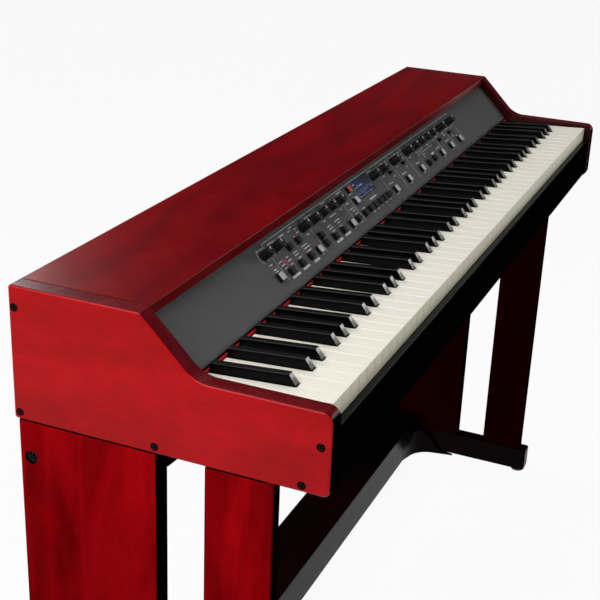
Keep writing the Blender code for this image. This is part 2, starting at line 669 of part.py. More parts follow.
def build_panel(grey_metal, felt, glass, circuit, soft_black):
    """Control panel with its felt, display, circuit board, knobs and buttons."""
    frame = panel_frame()
    y_foot, z_foot = from_keys(PANEL_FOOT, -PANEL_DROP)
    slope = math.tan(PANEL_ANGLE)
    under_drop = PANEL_SHEET / math.cos(PANEL_ANGLE)
    top = TOP_UNDER - SEAM
    lip_top = KEY_TOP - FELT_DROP - FELT_HEIGHT - SEAM
    lip_front = y_foot - LIP_DEPTH
    inner = y_foot + PANEL_SHEET
    flange_back = KEY_FRONT + TOP_FRONT + PANEL_FLANGE
    top_edge = y_foot + (top - z_foot) / slope
    under_edge = y_foot + (top - PANEL_SHEET - z_foot + under_drop) / slope
    sheet = [(lip_front, lip_top - LIP_SHEET), (inner, lip_top - LIP_SHEET),
             (inner, z_foot + PANEL_SHEET * slope - under_drop), (under_edge, top - PANEL_SHEET),
             (flange_back, top - PANEL_SHEET), (flange_back, top), (top_edge, top), (y_foot, z_foot),
             (y_foot, lip_top), (lip_front, lip_top)]
    panel = prism(sheet, side_frame(), -HALF_SPAN, HALF_SPAN)

    studs = [prism(square(x, up, STUD_SIDE), frame, -BOARD_DEPTH + SEAM, -PANEL_SHEET / 2)
             for x in STUD_PLACES for up in STUD_ROWS]
    panel = combine(panel, gather(studs), 'UNION')

    holes = [prism(cap_outline(place, CAP_CLEARANCE), frame, -2 * PANEL_SHEET, PANEL_SHEET)
             for places in BUTTONS.values() for place in places]
    holes += [prism(disc_outline(x, KNOB_ROW, STEM_RADIUS + SHAFT_CLEARANCE, HOLE_SIDES), frame,
                    -2 * PANEL_SHEET, PANEL_SHEET) for x in KNOB_PLACES]
    holes.append(prism(rectangle(DISPLAY_LEFT, DISPLAY_RIGHT, DISPLAY_LOW, DISPLAY_HIGH), frame,
                       -2 * PANEL_SHEET, PANEL_SHEET))
    add_piece("control_panel", combine(panel, gather(holes), 'DIFFERENCE'), grey_metal)

    strip = rectangle(lip_front, lip_front + FELT_DEPTH, lip_top + SEAM, lip_top + SEAM + FELT_HEIGHT)
    add_piece("felt_strip", prism(strip, side_frame(), -HALF_SPAN, HALF_SPAN), felt)

    flange_top = -PANEL_SHEET - SEAM
    window = rectangle(DISPLAY_LEFT + SEAM, DISPLAY_RIGHT - SEAM, DISPLAY_LOW + SEAM, DISPLAY_HIGH - SEAM)
    screen = prism(window, frame, -DISPLAY_DEPTH + SEAM, -DISPLAY_SINK)
    flange = prism(rectangle(DISPLAY_LEFT - DISPLAY_FLANGE, DISPLAY_RIGHT + DISPLAY_FLANGE,
                             DISPLAY_LOW - DISPLAY_FLANGE, DISPLAY_HIGH + DISPLAY_FLANGE),
                   frame, -DISPLAY_DEPTH, flange_top)
    add_piece("display", combine(flange, screen, 'UNION'), glass)

    board = prism(rectangle(-BOARD_HALF, BOARD_HALF, BOARD_LOW, BOARD_HIGH), frame,
                  -BOARD_DEPTH - BOARD_SHEET, -BOARD_DEPTH)
    pots = [prism(square(x, KNOB_ROW, POT_SIDE), frame, -BOARD_DEPTH - BOARD_SHEET / 2,
                  -BOARD_DEPTH + POT_HEIGHT) for x in KNOB_PLACES]
    add_piece("main_board", combine(board, gather(pots), 'UNION'), circuit)

    for i, x in enumerate(KNOB_PLACES, start=1):
        place = frame @ Matrix.Translation((x, KNOB_ROW, 0))
        stem_low = -BOARD_DEPTH + POT_HEIGHT + SEAM
        profile = ((0, stem_low), (STEM_RADIUS, stem_low), (STEM_RADIUS, KNOB_LIFT), (KNOB_RADIUS, KNOB_LIFT),
                   (KNOB_TOP_RADIUS, KNOB_HEIGHT - KNOB_EDGE), (KNOB_TOP_RADIUS - KNOB_EDGE, KNOB_HEIGHT),
                   (0, KNOB_HEIGHT))
        add_piece("knob_%02d" % i, turned(profile, place, KNOB_SIDES), soft_black, origin=place, smooth=True)

    for name, places in BUTTONS.items():
        place = frame @ Matrix.Translation((places[0][0], places[0][1], 0))
        add_piece(name, button_comb(places), soft_black, origin=place)


def build_inside(metal):
    """Power supply on the bottom board behind the key frame."""
    floor = CASE_BOTTOM + BOTTOM_THICK + SEAM
    front = KEY_FRONT + PIVOT_BACK + FRAME_REAR + SUPPLY_BEHIND_FRAME
    add_piece("power_supply", block((SUPPLY_CENTRE_X - SUPPLY_LENGTH / 2, front, floor),
                                    (SUPPLY_CENTRE_X + SUPPLY_LENGTH / 2, front + SUPPLY_DEPTH,
                                     floor + SUPPLY_HEIGHT)), metal)


def plan(x_inner, x_outer, start, depth, front_radius, back_radius):
    """Outline of an upright board seen from above, with its front and back corners rounded."""
    left = min(x_inner, x_outer)
    right = max(x_inner, x_outer)
    front = KEY_FRONT + start
    back = front + depth
    return rounded(((left, front, front_radius), (right, front, front_radius),
                    (right, back, back_radius), (left, back, back_radius)), CORNER_STEPS + 2)


def build_leg_side(side, sign, wood, dark_wood, black_metal, rubber):
    """Two legs, a foot with its glides and the bracket at one end of the stand."""
    upright = Matrix.Identity(4)
    inner = sign * LEG_INNER
    outer = sign * HALF_OUTER
    leg_low = FOOT_TOP + SEAM
    nose = LEG_THICK / 2 - SEAM
    front_leg = plan(inner, outer, FRONT_LEG_START, FRONT_LEG_DEPTH, nose, REAR_LEG_ROUND)
    rear_leg = plan(inner, outer, REAR_LEG_START, REAR_LEG_DEPTH, REAR_LEG_ROUND, REAR_LEG_ROUND)
    add_piece("leg_front_" + side, prism(front_leg, upright, leg_low, LEG_TOP), wood, smooth=True)
    add_piece("leg_rear_" + side, prism(rear_leg, upright, leg_low, LEG_TOP), wood, smooth=True)

    foot_low = GLIDE_HEIGHT + SEAM
    front = KEY_FRONT + FOOT_START
    back = KEY_FRONT + CASE_BACK
    profile = rounded(((front, foot_low, FOOT_ROUND), (front, FOOT_TOP, FOOT_ROUND),
                       (back, FOOT_TOP, FOOT_ROUND), (back, foot_low, FOOT_ROUND)))
    add_piece("foot_" + side, prism(profile, side_frame(), min(inner, outer), max(inner, outer)),
              dark_wood, smooth=True)
    middle = (inner + outer) / 2
    for where, y in (("front", front + GLIDE_INSET), ("rear", back - GLIDE_INSET)):
        glide = prism(disc_outline(middle, y, GLIDE_RADIUS, GLIDE_SIDES), upright, 0, GLIDE_HEIGHT)
        add_piece("glide_%s_%s" % (where, side), glide, rubber, smooth=True)

    leg_front = KEY_FRONT + REAR_LEG_START
    top = CASE_BOTTOM - SEAM
    low = top - BRACKET_DROP
    plate_outer = sign * (LEG_INNER - SEAM)
    plate_inner = sign * (LEG_INNER - SEAM - BRACKET_SHEET)
    flange_inner = sign * (LEG_INNER - SEAM - BRACKET_SHEET - BRACKET_FLANGE)
    cheek = prism([(leg_front - BRACKET_REACH, top), (leg_front - BRACKET_REACH, top - BRACKET_SHEET),
                   (leg_front, low), (leg_front + BRACKET_BACK, low), (leg_front + BRACKET_BACK, top)],
                  side_frame(), min(plate_outer, plate_inner), max(plate_outer, plate_inner))
    flange = block((min(plate_outer, flange_inner), leg_front - BRACKET_REACH, top - BRACKET_SHEET),
                   (max(plate_outer, flange_inner), leg_front + BRACKET_BACK, top))
    add_piece("leg_bracket_" + side, combine(cheek, flange, 'UNION'), black_metal)


def gusset(sign):
    """Curved end of the lower rail: a concave sweep in plan whose top falls along the foot."""
    end = sign * (LEG_INNER - SEAM)
    low = RAIL_FLOOR_GAP
    high = rail_top()
    rail_front = KEY_FRONT + RAIL_START
    back = rail_front + RAIL_THICK
    toe = rail_front - GUSSET_FORWARD
    tip = end - sign * GUSSET_TIP
    start = end - sign * GUSSET_WIDTH
    knee = (end - sign * GUSSET_KNEE_ALONG, rail_front - GUSSET_KNEE_FORWARD, GUSSET_RADIUS)
    sweep = rounded(((end, toe, 0), (tip, toe, 0), knee, (start, rail_front, 0), (start, back, 0),
                     (end, back, 0)), 2 * CORNER_STEPS)
    floor_plan = prism(sweep, Matrix.Identity(4), low, high)
    steep_low = toe + GUSSET_TOE_LENGTH
    steep_high = steep_low + GUSSET_RUN
    shoulder = FOOT_TOP - GUSSET_TOP_DROP
    shape = [(toe - CUT_MARGIN, low - CUT_MARGIN), (toe - CUT_MARGIN, low + GUSSET_TOE),
             (steep_low, low + GUSSET_HEEL), (steep_high, shoulder),
             (steep_high + GUSSET_SHOULDER, high + CUT_MARGIN), (back + CUT_MARGIN, high + CUT_MARGIN),
             (back + CUT_MARGIN, low - CUT_MARGIN)]
    keep = prism(shape, side_frame(), min(end, start) - CUT_MARGIN, max(end, start) + CUT_MARGIN)
    return combine(floor_plan, keep, 'INTERSECT')


def rail_top():
    """Top of the lower rail, a slit below the shelf."""
    return FOOT_TOP + SHELF_ABOVE_FEET - RAIL_SLIT


def build_stretchers(dark_wood):
    """Shelf between the rear legs and the rail below it between the feet."""
    half = LEG_INNER - SEAM
    front = KEY_FRONT + SHELF_START
    low = FOOT_TOP + SHELF_ABOVE_FEET
    add_piece("stretcher_shelf", block((-half, front, low), (half, front + SHELF_DEPTH, low + SHELF_THICK)),
              dark_wood)
    rail_front = KEY_FRONT + RAIL_START
    rail = block((-half, rail_front, RAIL_FLOOR_GAP), (half, rail_front + RAIL_THICK, rail_top()))
    for sign in (-1, 1):
        rail = combine(rail, gusset(sign), 'UNION')
    add_piece("stretcher_rail", rail, dark_wood, smooth=True)


def main():
    """Clear the scene and build every piece."""
    for old in list(bpy.data.objects):
        bpy.data.objects.remove(old)
    wood = finish("red_stained_wood", "#7a0c12", 0.35)
    dark_wood = finish("dark_stained_wood", "#1c0608", 0.4)
    black_paint = finish("black_paint", "#0b0b0d", 0.35)
    build_case(wood, dark_wood, black_paint)
    build_jack_plate(finish("painted_plate", "#1a1b1d", 0.45, 0.6))
    build_keyboard(finish("ivory_plastic", "#e6e1d5", 0.3), finish("ebony_plastic", "#0a0a0b", 0.28),
                   finish("bright_steel", "#a5a8ab", 0.3, 1.0),
                   finish("galvanised_steel", "#8d9093", 0.5, 1.0))
    build_panel(finish("grey_panel", "#4f5052", 0.55, 0.3), finish("red_felt", "#7d0f18", 0.95),
                finish("display_glass", "#0b0d14", 0.15), finish("circuit_board", "#1d4a2c", 0.5),
                finish("soft_black_plastic", "#101012", 0.5))
    build_inside(finish("supply_case", "#9a9c9e", 0.4, 1.0))
    black_metal = finish("black_metal", "#0d0d0e", 0.45, 0.5)
    rubber = finish("glide_rubber", "#111111", 0.8)
    for side, sign in (("left", -1), ("right", 1)):
        build_leg_side(side, sign, wood, dark_wood, black_metal, rubber)
    build_stretchers(dark_wood)


main()
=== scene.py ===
"""Visible model of a stage piano on its wooden stand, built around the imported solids.

Everything is in metres, apart from the tables whose comment says millimetres. X runs along the keyboard
towards the treble, the player sits at -Y and Z is up from the floor. Places on the case are counted behind
and above the top of the white keys' fronts, and places on the control panel along it, up it and out of it.
"""

import math

import bmesh
import bpy
from bpy.props import FloatProperty, FloatVectorProperty, PointerProperty
from mathutils import Matrix, Vector


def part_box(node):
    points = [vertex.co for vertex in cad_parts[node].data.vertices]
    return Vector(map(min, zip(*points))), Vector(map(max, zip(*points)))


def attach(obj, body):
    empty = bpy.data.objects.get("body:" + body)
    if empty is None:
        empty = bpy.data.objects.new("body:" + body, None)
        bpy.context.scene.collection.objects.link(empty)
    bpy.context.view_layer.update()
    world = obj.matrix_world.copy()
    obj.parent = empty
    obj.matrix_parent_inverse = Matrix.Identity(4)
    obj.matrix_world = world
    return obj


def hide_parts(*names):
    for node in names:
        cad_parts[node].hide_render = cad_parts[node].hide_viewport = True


bl_info = {
    "name": "Stage piano",
    "version": (1, 0, 0),
    "blender": (4, 5, 0),
    "location": "3D View > Sidebar > Stage piano",
    "description": "Builds the visible pieces of a stage piano with 88 keys on a wooden stand",
    "category": "Add Mesh",
}

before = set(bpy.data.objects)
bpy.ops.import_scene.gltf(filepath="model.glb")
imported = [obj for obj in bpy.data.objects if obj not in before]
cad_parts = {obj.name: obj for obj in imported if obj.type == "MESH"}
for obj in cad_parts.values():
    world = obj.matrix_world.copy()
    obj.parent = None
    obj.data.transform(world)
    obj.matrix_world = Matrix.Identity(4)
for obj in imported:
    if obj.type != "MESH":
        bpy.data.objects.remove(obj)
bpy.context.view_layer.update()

MM = 0.001
SEAM = 0.3 * MM  # open seam between a button's cap and its plate
HAIR = 0.02 * MM  # keeps two faces from lying in one plane
MERGE = 0.002 * MM
FLAT = math.radians(0.5)
SHARP = math.radians(35)
EDGE_FACING = 0.5  # an edge's faces have less than this of their normal through the board
FRONT_FACING = 0.9  # front faces have more than this of their normal towards the player
TOP_FACING = 0.99

# Places that the solids give
KEY_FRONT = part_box("keys_c")[0].y
KEY_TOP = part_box("keys_c")[1].z
HALF_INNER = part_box("side_panel_right")[0].x
HALF_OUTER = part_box("side_panel_right")[1].x
HALF_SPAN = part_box("top_board")[1].x
CASE_BACK, CASE_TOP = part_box("side_panel_right")[1].yz
NOSE_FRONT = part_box("side_panel_right")[0].y
CASE_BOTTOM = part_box("side_panel_right")[0].z
LID_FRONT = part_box("top_board")[0].y
LID_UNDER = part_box("top_board")[0].z

# Case: corners of an end panel as (behind, above, radius) in millimetres, then the other roundings
ARM_NOSE = (-11.5, 3.5, 12)
COVE = (137.9, 3.5, 38)
SHOULDER = (200.6, 66.2, 5)
REAR_ROUND = 4 * MM
TOE_ROUND = 8 * MM
LID_LIP_ROUNDS = (1.2 * MM, 1.8 * MM)
LID_RIM = 0.4 * MM
LID_JOINT = 0.8 * MM  # open joint between the top board and an end panel
SLIP_ROUNDS = (1.1 * MM, 0.6 * MM, 5 * MM)  # front top, rear top, front bottom

# Keyboard
OCTAVE = 7  # white keys in an octave
FIRST_C = 2  # white keys below the first C
WHITE_COUNT = 52
WHITE_PITCH = 23.5 * MM
HALF_KEYS = WHITE_COUNT * WHITE_PITCH / 2
WHITE_NOTES = ("a", "b", "c", "d", "e", "f", "g")
KEY_GAP = 1.15 * MM
KEY_CORNER = 0.9 * MM
KEY_TOP_LENGTH = 147 * MM
KEY_FALL = 0.058  # slope of the tops towards the rear
KEY_SKIRT = 22 * MM  # height of a white key's front
TAIL_GAP = 0.05 * MM
SLOT_FRONT = 48.4 * MM  # gap between two white keys, in which a black one stands
SLOT_WIDTH = 13.7 * MM
BLACK_SIDE = ((50, -16), (50, 0), (58.5, 12), (147, 10.4), (147, -16))  # (behind, above) in millimetres
BLACK_BASE_WIDTH = 11 * MM
BLACK_TOP_WIDTH = 9.6 * MM
OCTAVE_SPAN = 164.5 * MM  # octave for which the next places from its C are given
OCTAVE_STRETCH = OCTAVE * WHITE_PITCH / OCTAVE_SPAN
BLACK_CENTRES = {"c_sharp": 21.2 * MM, "d_sharp": 49.3 * MM, "f_sharp": 90.6 * MM, "g_sharp": 117.5 * MM,
                 "a_sharp": 144.4 * MM}

# Stand
LEG_ROUND = 1.5 * MM
LEG_RIM = 0.6 * MM

# Screws of the end panels and the legs, (behind, above) in millimetres
SCREW_PLACES = ((350.3, 41.6), (349.6, -80.9), (184.1, -81.3), (-0.2, -34.7), (18.4, -82.1))
LEG_BOLT_PLACE = (338, -134)
SCREW_SINK = 2 * MM
SCREW_HEIGHT = 1.9 * MM
BOLT_SINK = 3 * MM
SCREW_ROOM = 0.35 * MM
WASHER = ((0, 0), (7.6, 0), (7.6, 0.9), (7.4, 1.1), (0, 1.1))  # (radius, height) in millimetres
WASHER_RADIUS = WASHER[1][0] * MM
BOLT_HEAD = (4.6 * MM, 1.75 * MM)  # radius, height
HEAD_PROFILE = ((0, 0), (0.97, 0), (1, 0.2), (0.9, 0.62), (0.66, 0.93), (0.45, 1), (0, 1))
HEX_HOLE = (0.36, 0.4, 1.2)  # radius, foot and top, as shares of the head's radius and height
ROUND_STEPS = 28

# Control panel: its frame's axes run along it, up it and out of it
PANEL_FOOT_Y = KEY_FRONT + 151 * MM
PANEL_FOOT_Z = KEY_TOP - 3 * MM
PANEL_ANGLE = math.radians(45)
PANEL_SHEET = 2 * MM
FELT_ROOM = 1.8 * MM  # the felt lies so much lower than its solid, clear of the keys' tails
FELT_CROWN = 1.5 * MM
DISPLAY_MARK_LIFT = -0.48  # in millimetres from the panel's face, just over the sunk display

# Knobs, in millimetres: places along the panel, height of their row, (radius, height) of the body, pointer
KNOB_PLACES = (-367, -335.5, -252, -221, -192, -163.5, -134.5, 4, 37.5, 90.5, 151.5, 181.5, 210.5,
               239.5, 268.5, 319, 367)
KNOB_ROW = 56.5
KNOB_PROFILE = ((0, -12.7), (2.7, -12.7), (3, -12.4), (3, 0.8), (5.9, 0.8), (6.3, 1.0), (6.4, 1.4),
                (6.15, 9.0), (5.95, 15.3), (5.8, 15.9), (5.45, 16.35), (4.9, 16.5), (4.5, 16.4),
                (4.2, 16.1), (0, 16.05))
KNOB_POINTER = ((-0.45, 1.2, 15.9), (0.45, 5.3, 16.62))

# Buttons, in millimetres: (width, depth) of each kind, then (along, up, kind)
CAP_SIZES = {"large": (10.5, 10.5), "square": (9.5, 9.5), "row": (13.5, 8.5), "small": (6.8, 5.2),
             "alert": (9, 9)}
CAP_FINISHES = {"large": "grey_rubber", "alert": "red_rubber"}
CAP_CORNER = 1.1 * MM
CAP_RISE = 5 * MM
CAP_DISH = 1.8 * MM
DISH_STEPS = ((0.86, 0.1), (0.6, 0.9))  # (size of the step, its share of the depth)
BUTTONS = {
    "left": ((-366, 24.5, "large"), (-336.8, 22, "square"), (-306, 47.5, "square"), (-305.8, 22, "square"),
             (-278.7, 47.5, "square"), (-277.2, 22, "square"), (-250.3, 21.5, "large"),
             (-224.3, 34.5, "square"), (-225.1, 22.5, "square"), (-194.8, 22.4, "square"),
             (-166.2, 22, "square"), (-134.7, 21.5, "large")),
    "middle": ((-111.8, 22, "square"), (-84.1, 22, "square"), (-83.6, 43.3, "large"),
               (-82.5, 61.7, "alert"), (-61.4, 22.3, "row"), (-42.5, 22.3, "row"), (-23.2, 22.3, "row"),
               (-5.5, 22.3, "row"), (11.2, 22.3, "row"), (43.5, 21.5, "large"), (63, 46.4, "small")),
    "right": ((102.8, 21.5, "large"), (120.7, 46.3, "small"), (165.9, 21.5, "large"),
              (202.7, 21.5, "square"), (231.3, 22, "square"), (270.1, 21, "large"),
              (294.9, 41, "small"), (320.5, 21.5, "large"), (347.8, 41, "small"), (369.3, 21.5, "large")),
}

# Indicator lamps, in millimetres: width and height, (along, up) of each, and a bar of lamps with its
# place, width and height
LAMP_SIZE = (2.6, 1.8)
LAMPS = ((-303, 55.9), (-272.7, 54.2), (-332, 29.9), (-307.5, 29.3), (-280.2, 29.3), (-251.1, 29.6),
         (-210.9, 30.2), (-196, 30.1), (-168.4, 29.3), (-137.2, 29.7), (-55.5, 29.7), (-280.7, 14.2),
         (38.5, 29.8), (97.8, 29.8), (161, 29.8), (265.1, 29.8), (315.5, 29.8), (364.3, 29.8))
LAMP_BAR = (-332.4, 36.5, 3.0, 8.5)
LAMP_BAR_PARTS = 5

# Sockets in the back, in millimetres: (along, radius, pins), then the inlet
SOCKET_CENTRE = (-300 * MM, CASE_BACK, KEY_TOP - 20 * MM)
ROUND_SOCKETS = ((-120, 4.7, 0), (-90, 4.7, 0), (-60, 4.7, 0), (-20, 7.5, 5), (15, 7.5, 5))
NUT_PROFILE = ((1, 0.3, -12), (1, 0.3, -0.4), (1, 0.6, -0.1), (0.72, 0, -0.1), (0.66, 0, -0.6),
               (0.66, 0, -12), (1, 0.3, -12))  # (share of the radius, less so much, height)
CUP_PROFILE = ((0, 0, -11), (0.65, 0, -11), (0.65, 0, -1.2), (0.6, 0, -1), (0.6, 0, -10), (0, 0, -10))
PIN_CIRCLE = 3
PIN_SHAPE = (0.55 * MM, -9.9 * MM, -4 * MM)  # radius, foot, tip
PIN_SIDES = 10
INLET_ALONG = 95
INLET_HALF = (13.45, 9.7)
INLET_WALL = 2
INLET_SLANT = 4  # how far its two upper corners are cut off
INLET_DEPTHS = (-17 * MM, -15.5 * MM, -0.1 * MM)  # back, floor and rim
INLET_PINS = ((0, 3), (-6.5, -1.5), (6.5, -1.5))
INLET_PIN = ((-1, -2, -15.6), (1, 2, -3))

# Print on the panel, in millimetres: (from along, to along, up), (along, from up, to up), captions as
# (from along, to along, up) and filled bars as (from along, to along, from up, to up)
LEVEL_LINES = ((-352.5, 394, 70), (188.7, 256, 42))
UPRIGHT_LINES = (
    (-352.5, 63, 70), (-352, 15.6, 50), (-234, 13.6, 50), (-119.5, 13.4, 50), (-94.6, 12.8, 50.5),
    (27, 26, 50.7), (85.3, 13, 70), (144, 13.3, 70), (188.7, 13.4, 42.5), (286, 13.3, 47),
    (341.4, 12.6, 50), (390.6, 13.8, 45), (256, 42, 49.5))
LINE_WIDTH = 0.6
CAPTIONS = (
    (-373.5, -355.5, 65.6), (-343.5, -323, 64.8), (-310.5, -295, 64.7), (-278.5, -268.5, 66.5),
    (-285, -277, 63.3), (-269, -263.5, 61.2), (-268, -262.5, 56.2), (-281, -276.5, 53.8),
    (-230, -207.5, 65), (-172.5, -151, 46.6), (-171, -153.5, 38.2), (-165, -157, 34.3),
    (-195.5, -183.3, 38), (-193, -182.3, 34), (-192.5, -182.5, 29.2), (-165.5, -158.7, 29.1),
    (-222.5, -212, 38.4), (-194.3, -186, 47), (-251, -243.5, 46), (-280, -263.5, 38.1),
    (-278, -260.5, 34), (-276, -262.6, 29), (-307.4, -294.6, 38.1), (-305.5, -294.8, 34.3),
    (-303.7, -294.2, 29.2), (-348.8, -337.2, 39.1), (-346.6, -336.5, 34), (-344.4, -336.8, 28.8),
    (-326.5, -320.3, 39.2), (-326.6, -317.3, 34.1), (-326, -319.6, 28.7), (-367.7, -360.6, 43),
    (-367.2, -358.9, 35.5), (-365.4, -357.7, 32.3), (-249, -244.5, 14.2), (-171.2, -156.2, 67.8),
    (-117.7, -101.1, 66.8), (-88.2, -76.9, 55.2), (-84.3, -78.3, 49.3), (-112, -103.3, 47.3),
    (-113.2, -100.4, 38.2), (-109.4, -97.8, 34.2), (-108.7, -99.9, 28.7), (-136, -130.7, 46.7),
    (-82.7, -72.2, 28.9), (-133.5, -130.6, 14), (-111.7, -101.5, 15.3), (-60.8, -50.8, 15.6),
    (-42.6, -35.6, 15.4), (-25, -20, 15.3), (-11, -1.3, 15.4), (8, 14, 15.4), (2.3, 17.1, 66.2),
    (56.3, 62.9, 64.2), (72.2, 78.4, 64.4), (73.7, 79, 59), (74.4, 78.7, 53.9), (35, 42, 47.2),
    (66.8, 75.5, 38.2), (45.5, 54.2, 32.6), (36.5, 43, 33.4), (95.2, 100.8, 46.9), (124, 129.8, 38.4),
    (103.7, 113.7, 32.5), (94.1, 101.8, 33), (115.7, 122.2, 64.5), (130.2, 138.5, 64.1),
    (134.4, 137.4, 59.1), (133.8, 137.4, 53.6), (155.8, 161.5, 46.6), (160.2, 176.5, 32.7),
    (99.9, 110.7, 14.4), (163.7, 174.1, 14.4), (39.8, 50, 14.4), (202, 214, 37.6), (188, 195, 46.3),
    (199.6, 207.6, 46), (211.8, 217.8, 47), (238.4, 247.5, 46.6), (203, 208.3, 33.9),
    (264.9, 269, 46.6), (274.6, 278.9, 46.2), (291.4, 297.8, 48.4), (304, 309.4, 51.2),
    (261.8, 279.1, 32.2), (312.1, 331.3, 32.4), (321.3, 331.1, 46.7), (324.8, 332.6, 42),
    (349.6, 357.5, 48.6), (367.9, 372.5, 46.4), (379.7, 387.8, 47.6), (352.6, 359.3, 32.8),
    (367, 373.8, 29.6), (268.9, 277.4, 14), (318.6, 326.3, 14.4),
)
FILLED_CAPTIONS = ((-342, -320, 12.75, 15.85), (-310.2, -291, 12.85, 15.95), (-199, -179, 13.05, 16.15),
                   (-169.5, -150.5, 13.15, 16.25), (-44.2, -20.1, 31.96, 33.64),
                   (-277, -261, 11.75, 14.85), (234, 245.5, 28.85, 31.95))
CAPTION_HEIGHT = 1.4
LETTER_WIDTHS = (2.2, 1.4, 1.8, 1.1, 1.6, 2.0)
LETTER_GAP = 0.5
SCALE_RADIUS = 9.6
SCALE_WIDTH = 0.55
SCALE_STEPS = 40
SCALE_TICKS = 11
TICK_HALF = (0.25, 0.7)
KNOB_SWEEP = math.radians(300)
ARC_KNOBS = (1, 2)
TICKED_KNOBS = (3, 4, 5, 6, 7, 9, 10, 11, 12, 13, 14, 15, 16, 17)

# Lit bars of the display, in millimetres: (from along, to along, from up, to up)
DISPLAY_BARS = (
    (-60.5, -54.5, 62.1, 64.7), (-45, -32.5, 56.75, 58.65), (-61.5, -46.5, 56.4, 57.2),
    (-52.5, -45.5, 59.05, 59.95), (-60, -12, 51.45, 51.75), (-12.2, -9, 47.9, 50.1),
    (-60, -56.5, 47.3, 48.7), (-52, -40.5, 48.575, 49.125), (-38.5, -25, 48.7, 49.3),
    (-51.5, -37, 46.4, 46.8), (-61, -57.6, 42.4, 44), (-53, -29.5, 42.875, 43.425),
    (-27, -15.5, 42.4, 43.2))

# Camera as solved from the keyboard's lines, and lens and sensor in millimetres
CAMERA_PLACE = (-1.61276, -0.54840, 1.28456)
CAMERA_RIGHT = (0.39708, -0.91702, 0.03747)
CAMERA_FORWARD = (0.85297, 0.35366, -0.38387)
CAMERA_LENS = 73.847
CAMERA_SENSOR = 36

# Soft boxes: place, the point that they shine at, watts, width and height
SOFT_BOXES = {
    "left_box": ((-1.5, 0.4, 1.95), (-0.64, 0.0, 1.5), 27, 1.1, 1.1),
    "top_box": ((0.8, 0.45, 2.9), (0.3, -0.05, 0.7), 21, 2.0, 1.5),
    "right_box": ((1.8, -1.5, 1.2), (-0.4, -0.1, 0.75), 12, 0.8, 0.6),
    "front_box": ((-0.8, -1.9, 1.3), (-0.3, -0.15, 0.73), 10, 1.0, 0.7),
    "rear_box": ((0.85, 1.65, 1.8), (-0.55, 0.15, 0.8), 20, 0.6, 0.6),
}
AMBIENT = 0.09  # strength of the surroundings on matt surfaces
HORIZON = (0.02, 0.10)  # mirrored surroundings fade out between these heights of a direction
FLOOR_SHOWN = 0.94  # share of plain white in the floor; the rest shows the shadow
FLOOR_HALF = 30
FLOOR_DROP = 0.5 * MM
FLOOR_CLOUD = 333.33  # the paper's tone varies over so many millimetres


def linear(hex_colour):
    """Linear RGBA of an sRGB hex colour."""
    channels = [int(hex_colour[i:i + 2], 16) / 255 for i in (1, 3, 5)]
    return [c / 12.92 if c <= 0.04045 else ((c + 0.055) / 1.055) ** 2.4 for c in channels] + [1.0]


def colour(label, hex_colour, description):
    """A colour property whose default is an sRGB hex colour."""
    return FloatVectorProperty(name=label, description=description, default=linear(hex_colour),
                               subtype='COLOR', size=4, min=0, max=1)


def length(label, millimetres, description):
    """A length property whose default is in millimetres."""
    return FloatProperty(name=label, description=description, default=millimetres * MM, min=0,
                         soft_max=0.05, unit='LENGTH', precision=5)


class PianoColours(bpy.types.PropertyGroup):
    """Colours of the finishes."""
    side_light: colour("Side stain, light", "#c80e16", "Red stain of the end panels where the wood is pale")
    side_dark: colour("Side stain, dark", "#b6080f", "Red stain of the end panels where the wood takes more")
    # Painted shade: the edges' stain is the end panels' red drawn darker
    edge_shaded_light: colour("Top edge stain, light", "#620f16", "Darker stain on the edges of the end panels")
    edge_shaded_dark: colour("Top edge stain, dark", "#4c0a10", "Darker stain on those edges where it soaks in")
    # Painted shade: the top board's stain is the end panels' red drawn darker
    lid_shaded_light: colour("Top stain, light", "#6e0007", "Red stain of the top board, light figure")
    lid_shaded_dark: colour("Top stain, dark", "#5a0005", "Red stain of the top board, dark figure")
    # Painted shade: the legs' stain is the end panels' red drawn darker
    leg_light: colour("Leg stain, light", "#ab080f", "Red stain of the legs, light figure")
    leg_dark: colour("Leg stain, dark", "#7d030a", "Red stain of the legs, dark figure")
    # Near black: the dark end of the dark stain, the faces towards the player, and painted shade on the
    # control panel's fold
    edge_black: colour("Black edge", "#020202", "Black stain on the front edges")
    # Also the painted shade that turns the inner faces of end panels and legs near black
    dark_wood: colour("Dark stain", "#120203", "Near-black stain of the foot and the stretchers")
    lacquer: colour("Black lacquer", "#020304", "Lacquer of the key slip")
    panel_grey: colour("Panel grey", "#4d4e4e", "Powder coat of the control panel")
    ivory: colour("White keys", "#e8e3d6", "Moulded plastic of the white keys")
    # Painted shade: the key fronts' tone is the keys' white drawn darker and creamier
    ivory_front_shaded: colour("White keys, front", "#cfcab2", "Moulded plastic of the white keys' front faces")
    ebony: colour("Black keys", "#010102", "Moulded plastic of the black keys")
    felt_red: colour("Felt", "#a8040e", "Wool felt behind the keys")
    cap_black: colour("Black buttons", "#101113", "Rubber of the small buttons and the knobs")
    cap_grey: colour("Grey buttons", "#a9aaab", "Rubber of the large buttons")
    cap_red: colour("Red button", "#c23a22", "Rubber of the red button")
    lamp: colour("Lamps", "#c22f56", "Plastic of the unlit lamps")
    print_white: colour("Panel print", "#c2c4c5", "Screen print on the control panel")
    screen: colour("Display", "#04050c", "Ground of the display")
    screen_ink: colour("Display marks", "#7d88cf", "Lit marks of the display")


class PianoSizes(bpy.types.PropertyGroup):
    """Sizes of the fine shapes; the main sizes come from the solids."""
    side_outer_round: length("End panel, outer edge", 3.0, "Rounding of the end panels' outer edge")
    side_inner_round: length("End panel, inner edge", 0.8, "Rounding of the end panels' inner edge")
    board_round: length("Boards", 1.2, "Rounding of the edges of legs, feet and shelf")
    white_round: length("White keys", 0.7, "Rounding of the top edges of a white key")
    black_round: length("Black keys", 1.0, "Rounding of the top edges of a black key")
    cap_round: length("Buttons", 0.6, "Rounding of the top edges of a button")
    screw_radius: length("Screw heads", 4.4, "Radius of the button-head screws of the end panels")
    print_thickness: length("Print", 0.04, "Thickness of the panel print")


